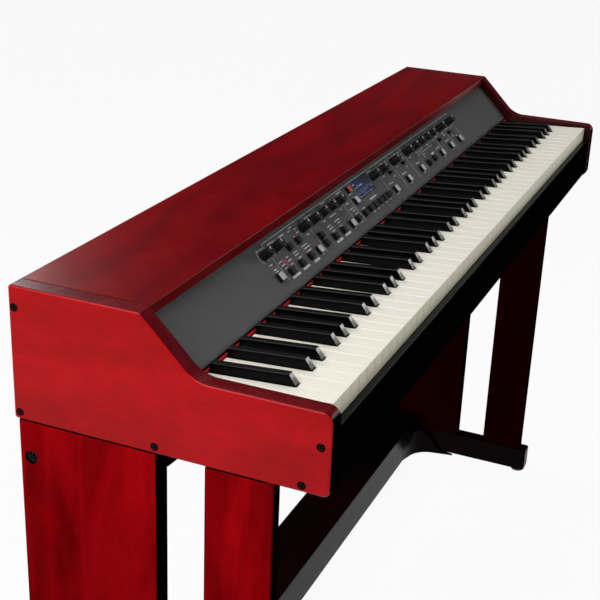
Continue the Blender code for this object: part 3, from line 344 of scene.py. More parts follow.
def wire(tree, node, inputs):
    """Give a node's inputs their values or links; a node given as a value stands for its first output."""
    for key, value in dict(inputs).items():
        if isinstance(value, bpy.types.Node):
            value = value.outputs[0]
        if isinstance(value, bpy.types.NodeSocket):
            tree.links.new(value, node.inputs[key])
        else:
            node.inputs[key].default_value = value


def put(tree, kind, inputs=(), stops=(), **settings):
    """Add a shader node with its settings, the stops of its ramp, and its inputs' values or links."""
    node = tree.nodes.new("ShaderNode" + kind)
    for key, value in settings.items():
        setattr(node, key, value)
    wire(tree, node, inputs)
    for i, (position, shade) in enumerate(stops):
        stop = node.color_ramp.elements[i] if i < 2 else node.color_ramp.elements.new(position)
        stop.position = position
        stop.color = shade
    return node


def start_material(name):
    """New material with its node tree and its shader."""
    material = bpy.data.materials.new(name)
    material.use_nodes = True
    tree = material.node_tree
    return material, tree, tree.nodes["Principled BSDF"]


def paint(tone):
    """Linear colour of a hex value, or of a colour property by its name."""
    return linear(tone) if tone.startswith("#") else list(getattr(bpy.context.scene.piano_colours, tone))


def per_mm(size):
    """Pattern scale, in repeats per metre, of a feature that is so many millimetres wide."""
    return 1000 / size


def by_grain(grain, across, along):
    """Values for three axes, one of which runs along the grain."""
    return [along if letter == grain else across for letter in "xyz"]


def shaded(tree, base, pattern, span, tones):
    """Base colour whose tone goes from one value to another while a pattern goes over a span."""
    shade = put(tree, "MapRange", {
        "Value": pattern, "From Min": span[0], "From Max": span[1], "To Min": tones[0], "To Max": tones[1]})
    return put(tree, "VectorMath", {0: base, 1: shade}, operation='MULTIPLY')


def darkened(tree, base, towards, span, dark, share=1.0):
    """Base colour that gives way to a dark one where the facing goes over a span."""
    fade = put(tree, "MapRange", {
        "Value": towards, "From Min": span[0], "From Max": span[1], "To Min": 0.0, "To Max": share})
    return put(tree, "MixRGB", {"Fac": fade, "Color1": base, "Color2": paint(dark)})


# Growth rings in a board: where the tree's heart lies beside it, its slant in radians, which opens the
# rings into arches, the width of a ring in millimetres, and a ring of the wave pattern at a scale of 1
HEART_PLACE = (55 * MM, 40 * MM, 35 * MM)
HEART_TILT = (0.05, 0.07, 0.05)
RING_WIDTH = 10.472
RING_TURN = math.pi / 10


def stained_wood(name, light, dark, grain, gloss, figure=0.0, arches=0.0, smooth=0.25, front_black=False,
                 inside_black=False):
    """Beech veneer, stained and sprayed with satin lacquer: the stain clouds where the wood takes it
    unevenly, pale lines arch along the grain where the growth rings are cut, fine fibres run between
    them, and the lacquer keeps a soft gloss. Real fibres are a quarter of a millimetre apart and real
    rings a few, so both are drawn coarser, to show. Where asked for, the colour fades to black on faces
    towards the player, and painted shade turns faces towards the piano's middle near black."""
    material, tree, shader = start_material(name)
    place = put(tree, "TexCoord")
    where = place.outputs["Object"]
    clouded = put(tree, "Mapping", {
        "Vector": where, "Scale": by_grain(grain, per_mm(75), per_mm(333.33))})
    fibrous = put(tree, "Mapping", {
        "Vector": where, "Scale": by_grain(grain, per_mm(1.1), per_mm(18.333))})
    ringed = put(tree, "Mapping", {
        "Vector": where, "Location": HEART_PLACE, "Rotation": HEART_TILT, "Scale": by_grain(grain, 1.0, 0.1)})
    clouds = put(tree, "TexNoise", {
        "Vector": clouded, "Scale": 1.0, "Detail": 3.0, "Roughness": 0.45, "Distortion": 0.4 + figure})
    fibres = put(tree, "TexNoise", {
        "Vector": fibrous, "Scale": 1.0, "Detail": 3.0, "Roughness": 0.6})
    mottle = put(tree, "TexNoise", {
        "Vector": where, "Scale": per_mm(32), "Detail": 4.0, "Roughness": 0.6})
    rings = put(tree, "TexWave", {
        "Vector": ringed, "Scale": per_mm(RING_WIDTH) * RING_TURN, "Distortion": 5.0, "Detail": 3.0,
        "Detail Scale": 0.6, "Detail Roughness": 0.6},
        wave_type='RINGS', rings_direction=grain.upper())
    lines = put(tree, "MapRange", {
        "Value": rings.outputs["Fac"], "From Min": 0.8, "From Max": 1.0, "To Min": 0.0, "To Max": arches})
    stain = put(tree, "ValToRGB", {"Fac": clouds},
                stops=((0.36, paint(dark)), (0.64, paint(light))))
    fine = put(tree, "Math", {0: fibres, 1: mottle}, operation='ADD')
    shade = put(tree, "MapRange", {
        "Value": fine, "From Min": 0.7, "From Max": 1.3, "To Min": 0.84, "To Max": 1.14})
    lifted = put(tree, "Math", {0: shade, 1: lines}, operation='ADD')
    result = put(tree, "VectorMath", {0: stain, 1: lifted}, operation='MULTIPLY')
    facing = put(tree, "SeparateXYZ", {"Vector": place.outputs["Normal"]})
    # Faces that turn towards the player fade to black
    if front_black:
        result = darkened(tree, result, facing.outputs["Y"], (-0.73, -0.88), "edge_black")
    # Painted shade: faces that turn towards the piano's middle fade to near black
    if inside_black:
        spot = put(tree, "SeparateXYZ", {"Vector": where})
        side = put(tree, "Math", {0: facing.outputs["X"], 1: spot.outputs["X"]},
                   operation='MULTIPLY')
        result = darkened(tree, result, side, (-0.1, -0.4), "dark_wood", share=0.96)
    roughness = put(tree, "MapRange", {
        "Value": mottle, "From Min": 0.3, "From Max": 0.7, "To Min": smooth, "To Max": smooth + 0.04})
    bump = put(tree, "Bump", {"Height": fibres, "Strength": 0.08, "Distance": 0.04 * MM})
    wire(tree, shader, {
        "Base Color": result, "Roughness": roughness, "Specular IOR Level": gloss, "Normal": bump})
    return material


def plain_finish(name, base, roughness, grain, tone, bump=0.1, specular=0.5, metallic=0.0):
    """A coated, moulded or rolled surface: an even colour whose tone and height vary with a fine grain.
    The real grain of most is 0.1 to 0.3 mm, too fine to show, so it is drawn about three times as wide."""
    material, tree, shader = start_material(name)
    where = put(tree, "TexCoord").outputs["Object"]
    fine = put(tree, "TexNoise", {
        "Vector": where, "Scale": per_mm(grain), "Detail": 4.0, "Roughness": 0.6})
    broad = put(tree, "TexNoise", {"Vector": where, "Scale": per_mm(grain * 40), "Detail": 2.0})
    both = put(tree, "Math", {0: fine, 1: broad}, operation='ADD')
    toned = shaded(tree, paint(base)[:3], both, (0.6, 1.4), (1 - tone, 1 + tone))
    height = put(tree, "Bump", {"Height": fine, "Strength": bump, "Distance": 0.03 * MM})
    wire(tree, shader, {"Base Color": toned, "Roughness": roughness, "Metallic": metallic,
                        "Specular IOR Level": specular, "Normal": height})
    return material


def powder_coat_with_shaded_fold(name, **details):
    """Fine-textured powder coat on the bent sheet: matt dark grey, and painted shade, near black, on the fold
    that faces the keys."""
    material = plain_finish(name, **details)
    tree = material.node_tree
    shader = tree.nodes["Principled BSDF"]
    coat = shader.inputs["Base Color"].links[0].from_socket
    facing = put(tree, "SeparateXYZ", {"Vector": put(tree, "TexCoord").outputs["Normal"]})
    # Painted shade: the fold, facing the keys, turns near black
    wire(tree, shader, {
        "Base Color": darkened(tree, coat, facing.outputs["Y"], (-0.85, -0.97), "edge_black")})
    return material


def white_key_plastic(name, base):
    """Moulded acrylic for white keys, polished on top: each key has a slightly other tone, and faint
    streaks run along it as in ivory, drawn 1.6 mm wide, coarser than real ones, so that they show."""
    material, tree, shader = start_material(name)
    where = put(tree, "TexCoord").outputs["Object"]
    spot = put(tree, "SeparateXYZ", {"Vector": where})
    shifted = put(tree, "Math", {0: spot.outputs["X"], 1: HALF_KEYS}, operation='ADD')
    count = put(tree, "Math", {0: shifted, 1: WHITE_PITCH}, operation='DIVIDE')
    number = put(tree, "Math", {0: count}, operation='FLOOR')
    chance = put(tree, "TexWhiteNoise", {"W": number}, noise_dimensions='1D')
    streaked = put(tree, "Mapping", {
        "Vector": where, "Scale": (per_mm(1.6), per_mm(53.33), per_mm(53.33))})
    streaks = put(tree, "TexNoise", {"Vector": streaked, "Scale": 1.0, "Detail": 3.0})
    both = put(tree, "Math", {0: chance, 1: streaks}, operation='ADD')
    toned = shaded(tree, paint(base)[:3], both, (0.3, 1.7), (0.975, 1.02))
    bump = put(tree, "Bump", {"Height": streaks, "Strength": 0.05, "Distance": 0.02 * MM})
    wire(tree, shader, {"Base Color": toned, "Roughness": 0.34, "Normal": bump})
    return material


def felt_cloth(name):
    """Pressed wool felt: matt, fuzzy at grazing light, with short fibres in every direction, drawn far
    thicker than the real 0.03 mm, so that they show."""
    material, tree, shader = start_material(name)
    fibres = put(tree, "TexNoise", {
        "Vector": put(tree, "TexCoord").outputs["Object"], "Scale": per_mm(0.7), "Detail": 6.0,
        "Roughness": 0.75, "Distortion": 1.5})
    toned = shaded(tree, paint("felt_red")[:3], fibres, (0.3, 0.7), (0.6, 1.3))
    bump = put(tree, "Bump", {"Height": fibres, "Strength": 0.6, "Distance": 0.3 * MM})
    wire(tree, shader, {"Base Color": toned, "Roughness": 0.95, "Specular IOR Level": 0.1,
                        "Sheen Weight": 0.06, "Sheen Roughness": 0.5, "Normal": bump})
    return material


def lit_ink(name):
    """Lit marks of a display: they glow a little unevenly from dot to dot. The dots are drawn 0.5 mm
    wide, twice their size, so that they show."""
    material, tree, shader = start_material(name)
    dots = put(tree, "TexNoise", {
        "Vector": put(tree, "TexCoord").outputs["Object"], "Scale": per_mm(0.5)})
    toned = shaded(tree, paint("screen_ink")[:3], dots, (0.3, 0.7), (0.8, 1.1))
    wire(tree, shader, {"Base Color": toned, "Emission Color": toned, "Emission Strength": 0.2,
                        "Roughness": 0.3})
    return material


def circuit_finish(name):
    """Glass-fibre board under green solder mask: copper tracks, a quarter of a millimetre wide, show as
    lighter green lines."""
    material, tree, shader = start_material(name)
    tracks = put(tree, "TexBrick", {
        "Vector": put(tree, "TexCoord").outputs["Object"], "Color1": linear("#14512b"),
        "Color2": linear("#195f33"), "Mortar": linear("#3f8a52"), "Scale": 1.0, "Mortar Size": 0.25 * MM,
        "Brick Width": 7 * MM, "Row Height": 1.8 * MM})
    wire(tree, shader, {"Base Color": tracks, "Roughness": 0.35})
    return material


# Stained boards: colour properties, direction of the grain, gloss, how wavy the figure is, how far the
# growth rings stand out, roughness, whether the front turns black, and whether painted shade darkens the
# inner face
STAINED_WOODS = {
    # Clouded red stain with a long figure under satin lacquer; black towards the player, and painted shade,
    # near black, on the faces towards the middle
    "red_beech_side": dict(light="side_light", dark="side_dark", grain="y", gloss=0.16, figure=1.6,
                           smooth=0.32, front_black=True, inside_black=True),
    # Edges of the same boards in a duller, browner red: painted shade, the same stain drawn darker where the
    # faces take less light
    "red_beech_edge": dict(light="edge_shaded_light", dark="edge_shaded_dark", grain="y", gloss=0.05, front_black=True),
    # Deep red with a wavy figure along the top board and hardly any gloss; the same stain as the end panels,
    # drawn darker as painted shade
    "red_beech_lid": dict(light="lid_shaded_light", dark="lid_shaded_dark", grain="x", gloss=0.05, figure=1.2, arches=0.04,
                          smooth=0.28),
    # Matt red with growth rings that arch up the legs; drawn darker than the end panels' stain, as painted
    # shade
    "red_beech_leg": dict(light="leg_light", dark="leg_dark", grain="z", gloss=0.0, figure=0.8, arches=0.22,
                          front_black=True, inside_black=True),
    # Near-black stain in which the grain is hardly seen
    "dark_beech_long": dict(light="dark_wood", dark="edge_black", grain="x", gloss=0.03),
    "dark_beech_deep": dict(light="dark_wood", dark="edge_black", grain="y", gloss=0.03),
}

# Plain finishes; a grain is a width in millimetres
PLAIN_FINISHES = {
    # Sprayed and rubbed satin: a soft, broad reflection without grain
    "black_satin_lacquer": dict(base="lacquer", roughness=0.3, grain=3, tone=0.06, bump=0.05, specular=0.12),
    # Flat black of edges that stay in the shade and mirror nothing
    "black_dull_lacquer": dict(base="lacquer", roughness=0.6, grain=3, tone=0.06, bump=0.05, specular=0.0),
    # Moulded black keys: satin tops and slopes that catch a long highlight, duller sides
    "ebony_abs": dict(base="ebony", roughness=0.27, grain=0.6, tone=0.1, bump=0.02),
    "ebony_abs_side": dict(base="ebony", roughness=0.3, grain=0.6, tone=0.1, bump=0.03, specular=0.1),
    # Moulded rubber of the knobs and the small, large and red buttons: soft, even, without a clear mirror
    "black_rubber": dict(base="cap_black", roughness=0.42, grain=0.6, tone=0.12, bump=0.08, specular=0.25),
    "grey_rubber": dict(base="cap_grey", roughness=0.5, grain=0.6, tone=0.05, bump=0.06),
    "red_rubber": dict(base="cap_red", roughness=0.45, grain=0.6, tone=0.06, bump=0.06),
    # Tinted clear plastic of unlit lamps: pink, smooth and shiny
    "lamp_plastic": dict(base="lamp", roughness=0.25, grain=0.5, tone=0.15, bump=0.02),
    # Ink laid on by screen: flat pale grey with a slightly rough edge to its tone
    "screen_print": dict(base="print_white", roughness=0.6, grain=0.5, tone=0.06),
    # Smoked window with a coating against reflections: blue-black, mirrors nothing
    "display_glass": dict(base="screen", roughness=0.3, grain=2, tone=0.05, bump=0.0, specular=0.0),
    # Steel with a black oxide skin: black, with small sharp highlights
    "blackened_steel": dict(base="#020203", roughness=0.18, grain=0.8, tone=0.15, bump=0.05, specular=0.09),
    # Moulded nylon deep in a socket: black without a highlight
    "socket_black": dict(base="#020202", roughness=0.6, grain=0.8, tone=0.15, specular=0.1),
    # Drawn steel rod: bright, with a soft mirror
    "bright_steel": dict(base="#a8abae", roughness=0.3, grain=0.8, tone=0.05, metallic=1.0),
    # Hot-dipped sheet: grey zinc whose crystals, 12 mm wide, differ in tone
    "galvanised_steel": dict(base="#8d9194", roughness=0.46, grain=12, tone=0.14, metallic=1.0),
    # Zinc-plated case of the power supply: even and silky
    "zinc_case": dict(base="#9a9ca0", roughness=0.4, grain=2, tone=0.06, metallic=1.0),
    # Moulded rubber under the feet: dull and slightly rough
    "glide_rubber": dict(base="#131314", roughness=0.85, grain=0.8, tone=0.15, bump=0.3),
    # Moulded inlet: black with a faint spark-eroded texture
    "black_abs": dict(base="#0d0d0f", roughness=0.4, grain=0.6, tone=0.1),
    # Stove-enamelled steel plate around the sockets: satin black, lightly pebbled
    "painted_plate": dict(base="#1b1c1e", roughness=0.5, grain=0.5, tone=0.1, bump=0.2),
    # Tinned contacts and nuts: pale, slightly yellow metal
    "tin_contact": dict(base="#b6b4ab", roughness=0.28, grain=1, tone=0.05, metallic=1.0),
}

# Finishes with a function of their own, which says what they give the eye
OTHER_FINISHES = {
    # Warm white that hardly varies, and on the keys' fronts a darker, creamier tone that is painted shade
    "ivory_acrylic": (white_key_plastic, dict(base="ivory")),
    "ivory_acrylic_front": (white_key_plastic, dict(base="ivory_front_shaded")),
    # Matt dark grey with a fine orange peel, and painted shade on the fold that faces the keys
    "grey_powder_coat": (powder_coat_with_shaded_fold, dict(base="panel_grey", roughness=0.42, grain=0.6, tone=0.07, bump=0.3,
                                           specular=0.2)),
    "wool_felt": (felt_cloth, {}),
    "lit_display_ink": (lit_ink, {}),
    "circuit_laminate": (circuit_finish, {}),
}


def finish(name):
    """The material of a finish, made when it is first asked for."""
    if name in bpy.data.materials:
        return bpy.data.materials[name]
    if name in STAINED_WOODS:
        return stained_wood(name, **STAINED_WOODS[name])
    if name in PLAIN_FINISHES:
        return plain_finish(name, **PLAIN_FINISHES[name])
    maker, details = OTHER_FINISHES[name]
    return maker(name, **details)


def metres(points):
    """Points of a table in millimetres."""
    return [tuple(value * MM for value in point) for point in points]


def from_keys(back, up):
    """Y and Z of a point so many millimetres behind the key fronts and above their top edge."""
    return KEY_FRONT + back * MM, KEY_TOP + up * MM


def case_corner(back, up, radius):
    """Rounded corner of an outline of the case, from millimetres."""
    return from_keys(back, up) + (radius * MM,)


def rectangle(low, high, near, far):
    """Outline of a rectangle, with the radius of its near corners and that of its far ones."""
    return ((low[0], low[1], near), (high[0], low[1], near), (high[0], high[1], far),
            (low[0], high[1], far))


def side_frame():
    """Frame whose axes are world Y, world Z and world X."""
    return Matrix(((0, 0, 1, 0), (1, 0, 0, 0), (0, 1, 0, 0), (0, 0, 0, 1)))


def outward(x, y, z):
    """Frame at a point of an end panel or leg, whose third axis points away from the piano's middle."""
    sign = math.copysign(1, x)
    return Matrix(((0, 0, sign, x), (sign, 0, 0, y), (0, 1, 0, z), (0, 0, 0, 1)))


def in_back(along):
    """Frame at a socket, so many millimetres along the plate, whose third axis points out of the back."""
    x, y, z = SOCKET_CENTRE
    return Matrix(((1, 0, 0, x + along * MM), (0, 0, 1, y), (0, -1, 0, z), (0, 0, 0, 1)))


def on_panel(along=0.0, up=0.0, out=0.0):
    """Frame at a place on the control panel, in millimetres: along it, up it, and out of it."""
    rise = Vector((0, math.cos(PANEL_ANGLE), math.sin(PANEL_ANGLE)))
    normal = Vector((0, -math.sin(PANEL_ANGLE), math.cos(PANEL_ANGLE)))
    place = Matrix((Vector((1, 0, 0)), rise, normal)).transposed().to_4x4()
    place.translation = Vector((0, PANEL_FOOT_Y, PANEL_FOOT_Z))
    return place @ Matrix.Translation((along * MM, up * MM, out * MM))


def round_over(solid, edges, width, segments, clamp=False):
    """Round edges of a shape over."""
    bmesh.ops.bevel(solid, geom=edges, offset=width, segments=segments, profile=0.5,
                    affect='EDGES', clamp_overlap=clamp, material=-1)


def extruded(corners, place, low, high, segments=6, low_rim=0.0, high_rim=0.0, rim_segments=4):
    """Board of an outline (a, b, radius): its corners are rounded along the third axis, then its rims."""
    solid = bmesh.new()
    ring = [solid.verts.new(place @ Vector((a, b, low))) for a, b, _ in corners]
    base = solid.faces.new(ring)
    moved = bmesh.ops.extrude_face_region(solid, geom=[base])["geom"]
    top = [v for v in moved if isinstance(v, bmesh.types.BMVert)]
    bmesh.ops.translate(solid, verts=top, vec=place.to_3x3() @ Vector((0, 0, high - low)))
    by_offset = {}
    for i, (a, b, radius) in enumerate(corners):
        if radius:
            here = Vector((a, b))
            before = Vector(corners[i - 1][:2]) - here
            after = Vector(corners[(i + 1) % len(corners)][:2]) - here
            offset = radius / math.tan(before.angle(after) / 2)
            upright = [e for e in ring[i].link_edges if e.other_vert(ring[i]) in top][0]
            by_offset.setdefault(round(offset, 7), []).append(upright)
    for offset, edges in by_offset.items():
        round_over(solid, edges, offset, segments)
    back = place.inverted()
    for height, width in ((low, low_rim), (high, high_rim)):
        if width:
            rim = [e for e in solid.edges if all(abs((back @ v.co).z - height) < HAIR / 2 for v in e.verts)]
            round_over(solid, rim, width, rim_segments)
    bmesh.ops.recalc_face_normals(solid, faces=solid.faces)
    return solid


def turned(profile, place, steps=ROUND_STEPS):
    """Shape turned about a frame's third axis from (radius, height) points."""
    solid = bmesh.new()
    spine = [solid.verts.new(Vector((radius, 0, height))) for radius, height in profile]
    edges = [solid.edges.new(pair) for pair in zip(spine, spine[1:])]
    bmesh.ops.spin(solid, geom=spine + edges, cent=(0, 0, 0), axis=(0, 0, 1), dvec=(0, 0, 0),
                   angle=2 * math.pi, steps=steps, use_merge=True, use_duplicate=False)
    bmesh.ops.remove_doubles(solid, verts=solid.verts, dist=MERGE)
    bmesh.ops.transform(solid, matrix=place, verts=solid.verts)
    bmesh.ops.recalc_face_normals(solid, faces=solid.faces)
    return solid


def cylinder(place, radius, low, high, sides=ROUND_STEPS):
    """Plain round tool or disc about a frame's third axis."""
    return turned(((0, low), (radius, low), (radius, high), (0, high)), place, sides)


def slab(low, high, place=Matrix.Identity(4), rim=0.0, segments=2):
    """Box between two corners of a frame, with rounded edges if asked for."""
    solid = bmesh.new()
    bmesh.ops.create_cube(solid, size=1)
    bmesh.ops.scale(solid, vec=Vector(high) - Vector(low), verts=solid.verts)
    bmesh.ops.translate(solid, vec=(Vector(high) + Vector(low)) / 2, verts=solid.verts)
    if rim:
        round_over(solid, solid.edges[:], rim, segments)
    bmesh.ops.transform(solid, matrix=place, verts=solid.verts)
    return solid


def gather(solids):
    """Several closed shapes in one mesh."""
    group = bmesh.new()
    holder = bpy.data.meshes.new("gathered")
    for solid in solids:
        solid.to_mesh(holder)
        solid.free()
        group.from_mesh(holder)
    bpy.data.meshes.remove(holder)
    return group


def copied(node):
    """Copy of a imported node, its loose triangles joined to whole faces."""
    solid = bmesh.new()
    solid.from_mesh(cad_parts[node].data)
    bmesh.ops.remove_doubles(solid, verts=solid.verts, dist=MERGE)
    bmesh.ops.dissolve_limit(solid, angle_limit=FLAT, verts=solid.verts, edges=solid.edges)
    return solid


def softened(node, width, segments=3):
    """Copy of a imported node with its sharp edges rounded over."""
    solid = copied(node)
    sharp = [e for e in solid.edges if e.is_manifold and e.calc_face_angle() > SHARP]
    round_over(solid, sharp, width, segments, clamp=True)
    bmesh.ops.recalc_face_normals(solid, faces=solid.faces)
    return solid


def cut_copy(node, point, normal, reach=0.0):
    """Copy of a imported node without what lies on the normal's side of a plane; the cut ends reach on."""
    solid = copied(node)
    geometry = solid.verts[:] + solid.edges[:] + solid.faces[:]
    cut = bmesh.ops.bisect_plane(solid, geom=geometry, plane_co=point, plane_no=normal, clear_outer=True)
    rim = [e for e in solid.edges if e.is_boundary]
    bmesh.ops.holes_fill(solid, edges=rim, sides=0)
    ends = {v for e in cut["geom_cut"] if isinstance(e, bmesh.types.BMEdge) for v in e.verts}
    bmesh.ops.translate(solid, verts=list(ends), vec=Vector(normal).normalized() * reach)
    bmesh.ops.recalc_face_normals(solid, faces=solid.faces)
    return solid


def cut_away(solid, tool):
    """Difference of two closed shapes."""
    pair = []
    for shape in (solid, tool):
        mesh = bpy.data.meshes.new("operand")
        shape.to_mesh(mesh)
        shape.free()
        pair.append(bpy.data.objects.new("operand", mesh))
        bpy.context.scene.collection.objects.link(pair[-1])
    step = pair[0].modifiers.new("cut", 'BOOLEAN')
    step.operation = 'DIFFERENCE'
    step.solver = 'EXACT'
    step.object = pair[1]
    result = bmesh.new()
    result.from_object(pair[0], bpy.context.evaluated_depsgraph_get())
    for holder in pair:
        mesh = holder.data
        bpy.data.objects.remove(holder)
        bpy.data.meshes.remove(mesh)
    return result


def socket_head(place, radius, height):
    """Button head of a socket screw: a low dome with a hexagonal hole."""
    dome = turned([(radius * out, height * up) for out, up in HEAD_PROFILE], Matrix.Identity(4))
    wide, foot, top = HEX_HOLE
    head = cut_away(dome, cylinder(Matrix.Identity(4), radius * wide, height * foot, height * top, sides=6))
    bmesh.ops.transform(head, matrix=place, verts=head.verts)
    return head


def add_piece(name, solid, material, body="case", replaced=None, edge=None, across=None, front=None):
    """Put a mesh in the scene as one piece that rides on a body. Faces that don't point along across may
    have a finish of their own, edge, and of these the ones towards the player another, front."""
    mesh = bpy.data.meshes.new(name)
    if edge:
        for face in solid.faces:
            face.material_index = int(abs(face.normal.dot(across)) < EDGE_FACING)
            if front and face.normal.y < -FRONT_FACING:
                face.material_index = 2
    solid.to_mesh(mesh)
    solid.free()
    mesh.shade_smooth()
    mesh.set_sharp_from_angle(angle=SHARP)
    for each in (material, edge, front):
        if each:
            mesh.materials.append(finish(each))
    piece = bpy.data.objects.new(name, mesh)
    bpy.context.scene.collection.objects.link(piece)
    shading = piece.modifiers.new("even_shading", 'WEIGHTED_NORMAL')
    shading.keep_sharp = True
    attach(piece, body)
    if replaced:
        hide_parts(replaced)


def refinish(node, material):
    """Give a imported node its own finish."""
    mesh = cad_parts[node].data
    mesh.materials.clear()
    mesh.materials.append(finish(material))


def bar(left, right, low, high, lift=0.0):
    """Thin printed bar on the control panel between four bounds, in millimetres."""
    thick = bpy.context.scene.piano_sizes.print_thickness
    return slab((left * MM, low * MM, lift * MM), (right * MM, high * MM, lift * MM + thick), on_panel())


def caption(left, right, up):
    """Row of short plain bars in the place of a printed word."""
    row = []
    turn = int(abs(left) + up)
    while left < right - LETTER_GAP:
        end = left + min(LETTER_WIDTHS[turn % len(LETTER_WIDTHS)], right - left)
        row.append(bar(left, end, up - CAPTION_HEIGHT / 2, up + CAPTION_HEIGHT / 2))
        left = end + LETTER_GAP
        turn += 1
    return row


def scale_arc(along):
    """Printed arc round a knob, open towards the keys."""
    inner, outer = (SCALE_RADIUS - SCALE_WIDTH / 2) * MM, (SCALE_RADIUS + SCALE_WIDTH / 2) * MM
    thick = bpy.context.scene.piano_sizes.print_thickness
    solid = bmesh.new()
    start = solid.faces.new([solid.verts.new(point) for point in (
        (inner, 0, 0), (outer, 0, 0), (outer, 0, thick), (inner, 0, thick))])
    turn = Matrix.Rotation((math.pi - KNOB_SWEEP) / 2, 4, 'Z')
    bmesh.ops.transform(solid, matrix=turn, verts=solid.verts)
    bmesh.ops.spin(solid, geom=[start], cent=(0, 0, 0), axis=(0, 0, 1), dvec=(0, 0, 0), angle=KNOB_SWEEP,
                   steps=SCALE_STEPS, use_merge=False, use_duplicate=False)
    bmesh.ops.transform(solid, matrix=on_panel(along, KNOB_ROW), verts=solid.verts)
    bmesh.ops.recalc_face_normals(solid, faces=solid.faces)
    return solid


def scale_ticks(along):
    """Printed ticks round a knob, from its lowest to its highest setting."""
    thick = bpy.context.scene.piano_sizes.print_thickness
    wide, tall = (half * MM for half in TICK_HALF)
    ticks = []
    for i in range(SCALE_TICKS):
        turn = Matrix.Rotation(KNOB_SWEEP / 2 - KNOB_SWEEP * i / (SCALE_TICKS - 1), 4, 'Z')
        place = on_panel(along, KNOB_ROW) @ turn @ Matrix.Translation((0, SCALE_RADIUS * MM, 0))
        ticks.append(slab((-wide, -tall, 0), (wide, tall, thick), place))
    return ticks


def black_places():
    """Note and centre of each black key."""
    places = []
    for octave in range(-1, WHITE_COUNT // OCTAVE):
        start = -HALF_KEYS + (FIRST_C + OCTAVE * octave) * WHITE_PITCH
        for note, centre in BLACK_CENTRES.items():
            x = start + centre * OCTAVE_STRETCH
            if abs(x) < HALF_KEYS - BLACK_BASE_WIDTH / 2:
                places.append((note, x))
    return places


def white_places():
    """Note, wide front and narrow rear of each white key."""
    slots = [x for _, x in black_places()]
    places = []
    for i in range(WHITE_COUNT):
        left = -HALF_KEYS + i * WHITE_PITCH + KEY_GAP / 2
        right = left + WHITE_PITCH - KEY_GAP
        middle = (left + right) / 2
        narrow = (max([x + SLOT_WIDTH / 2 for x in slots if x < middle] + [left]),
                  min([x - SLOT_WIDTH / 2 for x in slots if x > middle] + [right]))
        places.append((WHITE_NOTES[i % OCTAVE], (left, right), narrow))
    return places


def lower_tops(key):
    """Let the top of a key that was made level fall towards the rear, as it lies at rest."""
    for vert in key.verts:
        if vert.co.z > KEY_TOP - KEY_SKIRT / 2:
            vert.co.z -= KEY_FALL * (vert.co.y - KEY_FRONT)


def white_key(wide, narrow):
    """One white key's visible part: a wide front, and a rear that is narrow beside the black keys."""
    front, slot, rear = KEY_FRONT, KEY_FRONT + SLOT_FRONT, KEY_FRONT + KEY_TOP_LENGTH
    outline = [(wide[0], front, KEY_CORNER), (wide[1], front, KEY_CORNER)]
    if narrow[1] < wide[1]:
        outline += [(wide[1], slot, KEY_CORNER), (narrow[1], slot, KEY_CORNER)]
    outline += [(narrow[1], rear, 0), (narrow[0], rear, 0)]
    if narrow[0] > wide[0]:
        outline += [(narrow[0], slot, KEY_CORNER), (wide[0], slot, KEY_CORNER)]
    key = extruded(outline, Matrix.Identity(4), KEY_TOP - KEY_SKIRT, KEY_TOP, segments=3,
                   high_rim=bpy.context.scene.piano_sizes.white_round, rim_segments=3)
    lower_tops(key)
    return key


def black_key(x):
    """One black key's visible part: a sloped front, sides that lean in and softly rounded top edges."""
    key = extruded([from_keys(*point) + (0,) for point in BLACK_SIDE], side_frame(),
                   x - BLACK_BASE_WIDTH / 2, x + BLACK_BASE_WIDTH / 2)
    crown = [v for v in key.verts if v.co.z > KEY_TOP + MM]
    bmesh.ops.scale(key, vec=(BLACK_TOP_WIDTH / BLACK_BASE_WIDTH, 1, 1), verts=crown,
                    space=Matrix.Translation((-x, 0, 0)))
    crown = set(crown)
    soft = [e for e in key.edges if crown.intersection(e.verts)
            and not all(abs(v.co.y - KEY_FRONT - KEY_TOP_LENGTH) < HAIR / 2 for v in e.verts)]
    round_over(key, soft, bpy.context.scene.piano_sizes.black_round, segments=3, clamp=True)
    lower_tops(key)
    bmesh.ops.recalc_face_normals(key, faces=key.faces)
    return key


def tails(note):
    """Hidden rear of a note's keys, with the rail that joins them."""
    return cut_copy("keys_" + note, (0, KEY_FRONT + KEY_TOP_LENGTH + TAIL_GAP, 0), (0, -1, 0), reach=MM)


def dish(cap, out):
    """Sink the middle of a button's top in two steps, for the fingertip."""
    cap.normal_update()
    tops = [face for face in cap.faces if face.normal.dot(out) > TOP_FACING]
    top = max(tops, key=lambda face: face.calc_area())
    centre = top.calc_center_median()
    for size, share in DISH_STEPS:
        moved = bmesh.ops.extrude_face_region(cap, geom=[top])["geom"]
        top = next(item for item in moved if isinstance(item, bmesh.types.BMFace))
        bmesh.ops.scale(cap, verts=list(top.verts), vec=(size, size, size), space=Matrix.Translation(-centre))
        bmesh.ops.translate(cap, verts=list(top.verts), vec=-out * CAP_DISH * share)


def socket_ring(profile, radius, place):
    """Turned part of a round socket."""
    return turned([((radius * share - less) * MM, height * MM) for share, less, height in profile], place)


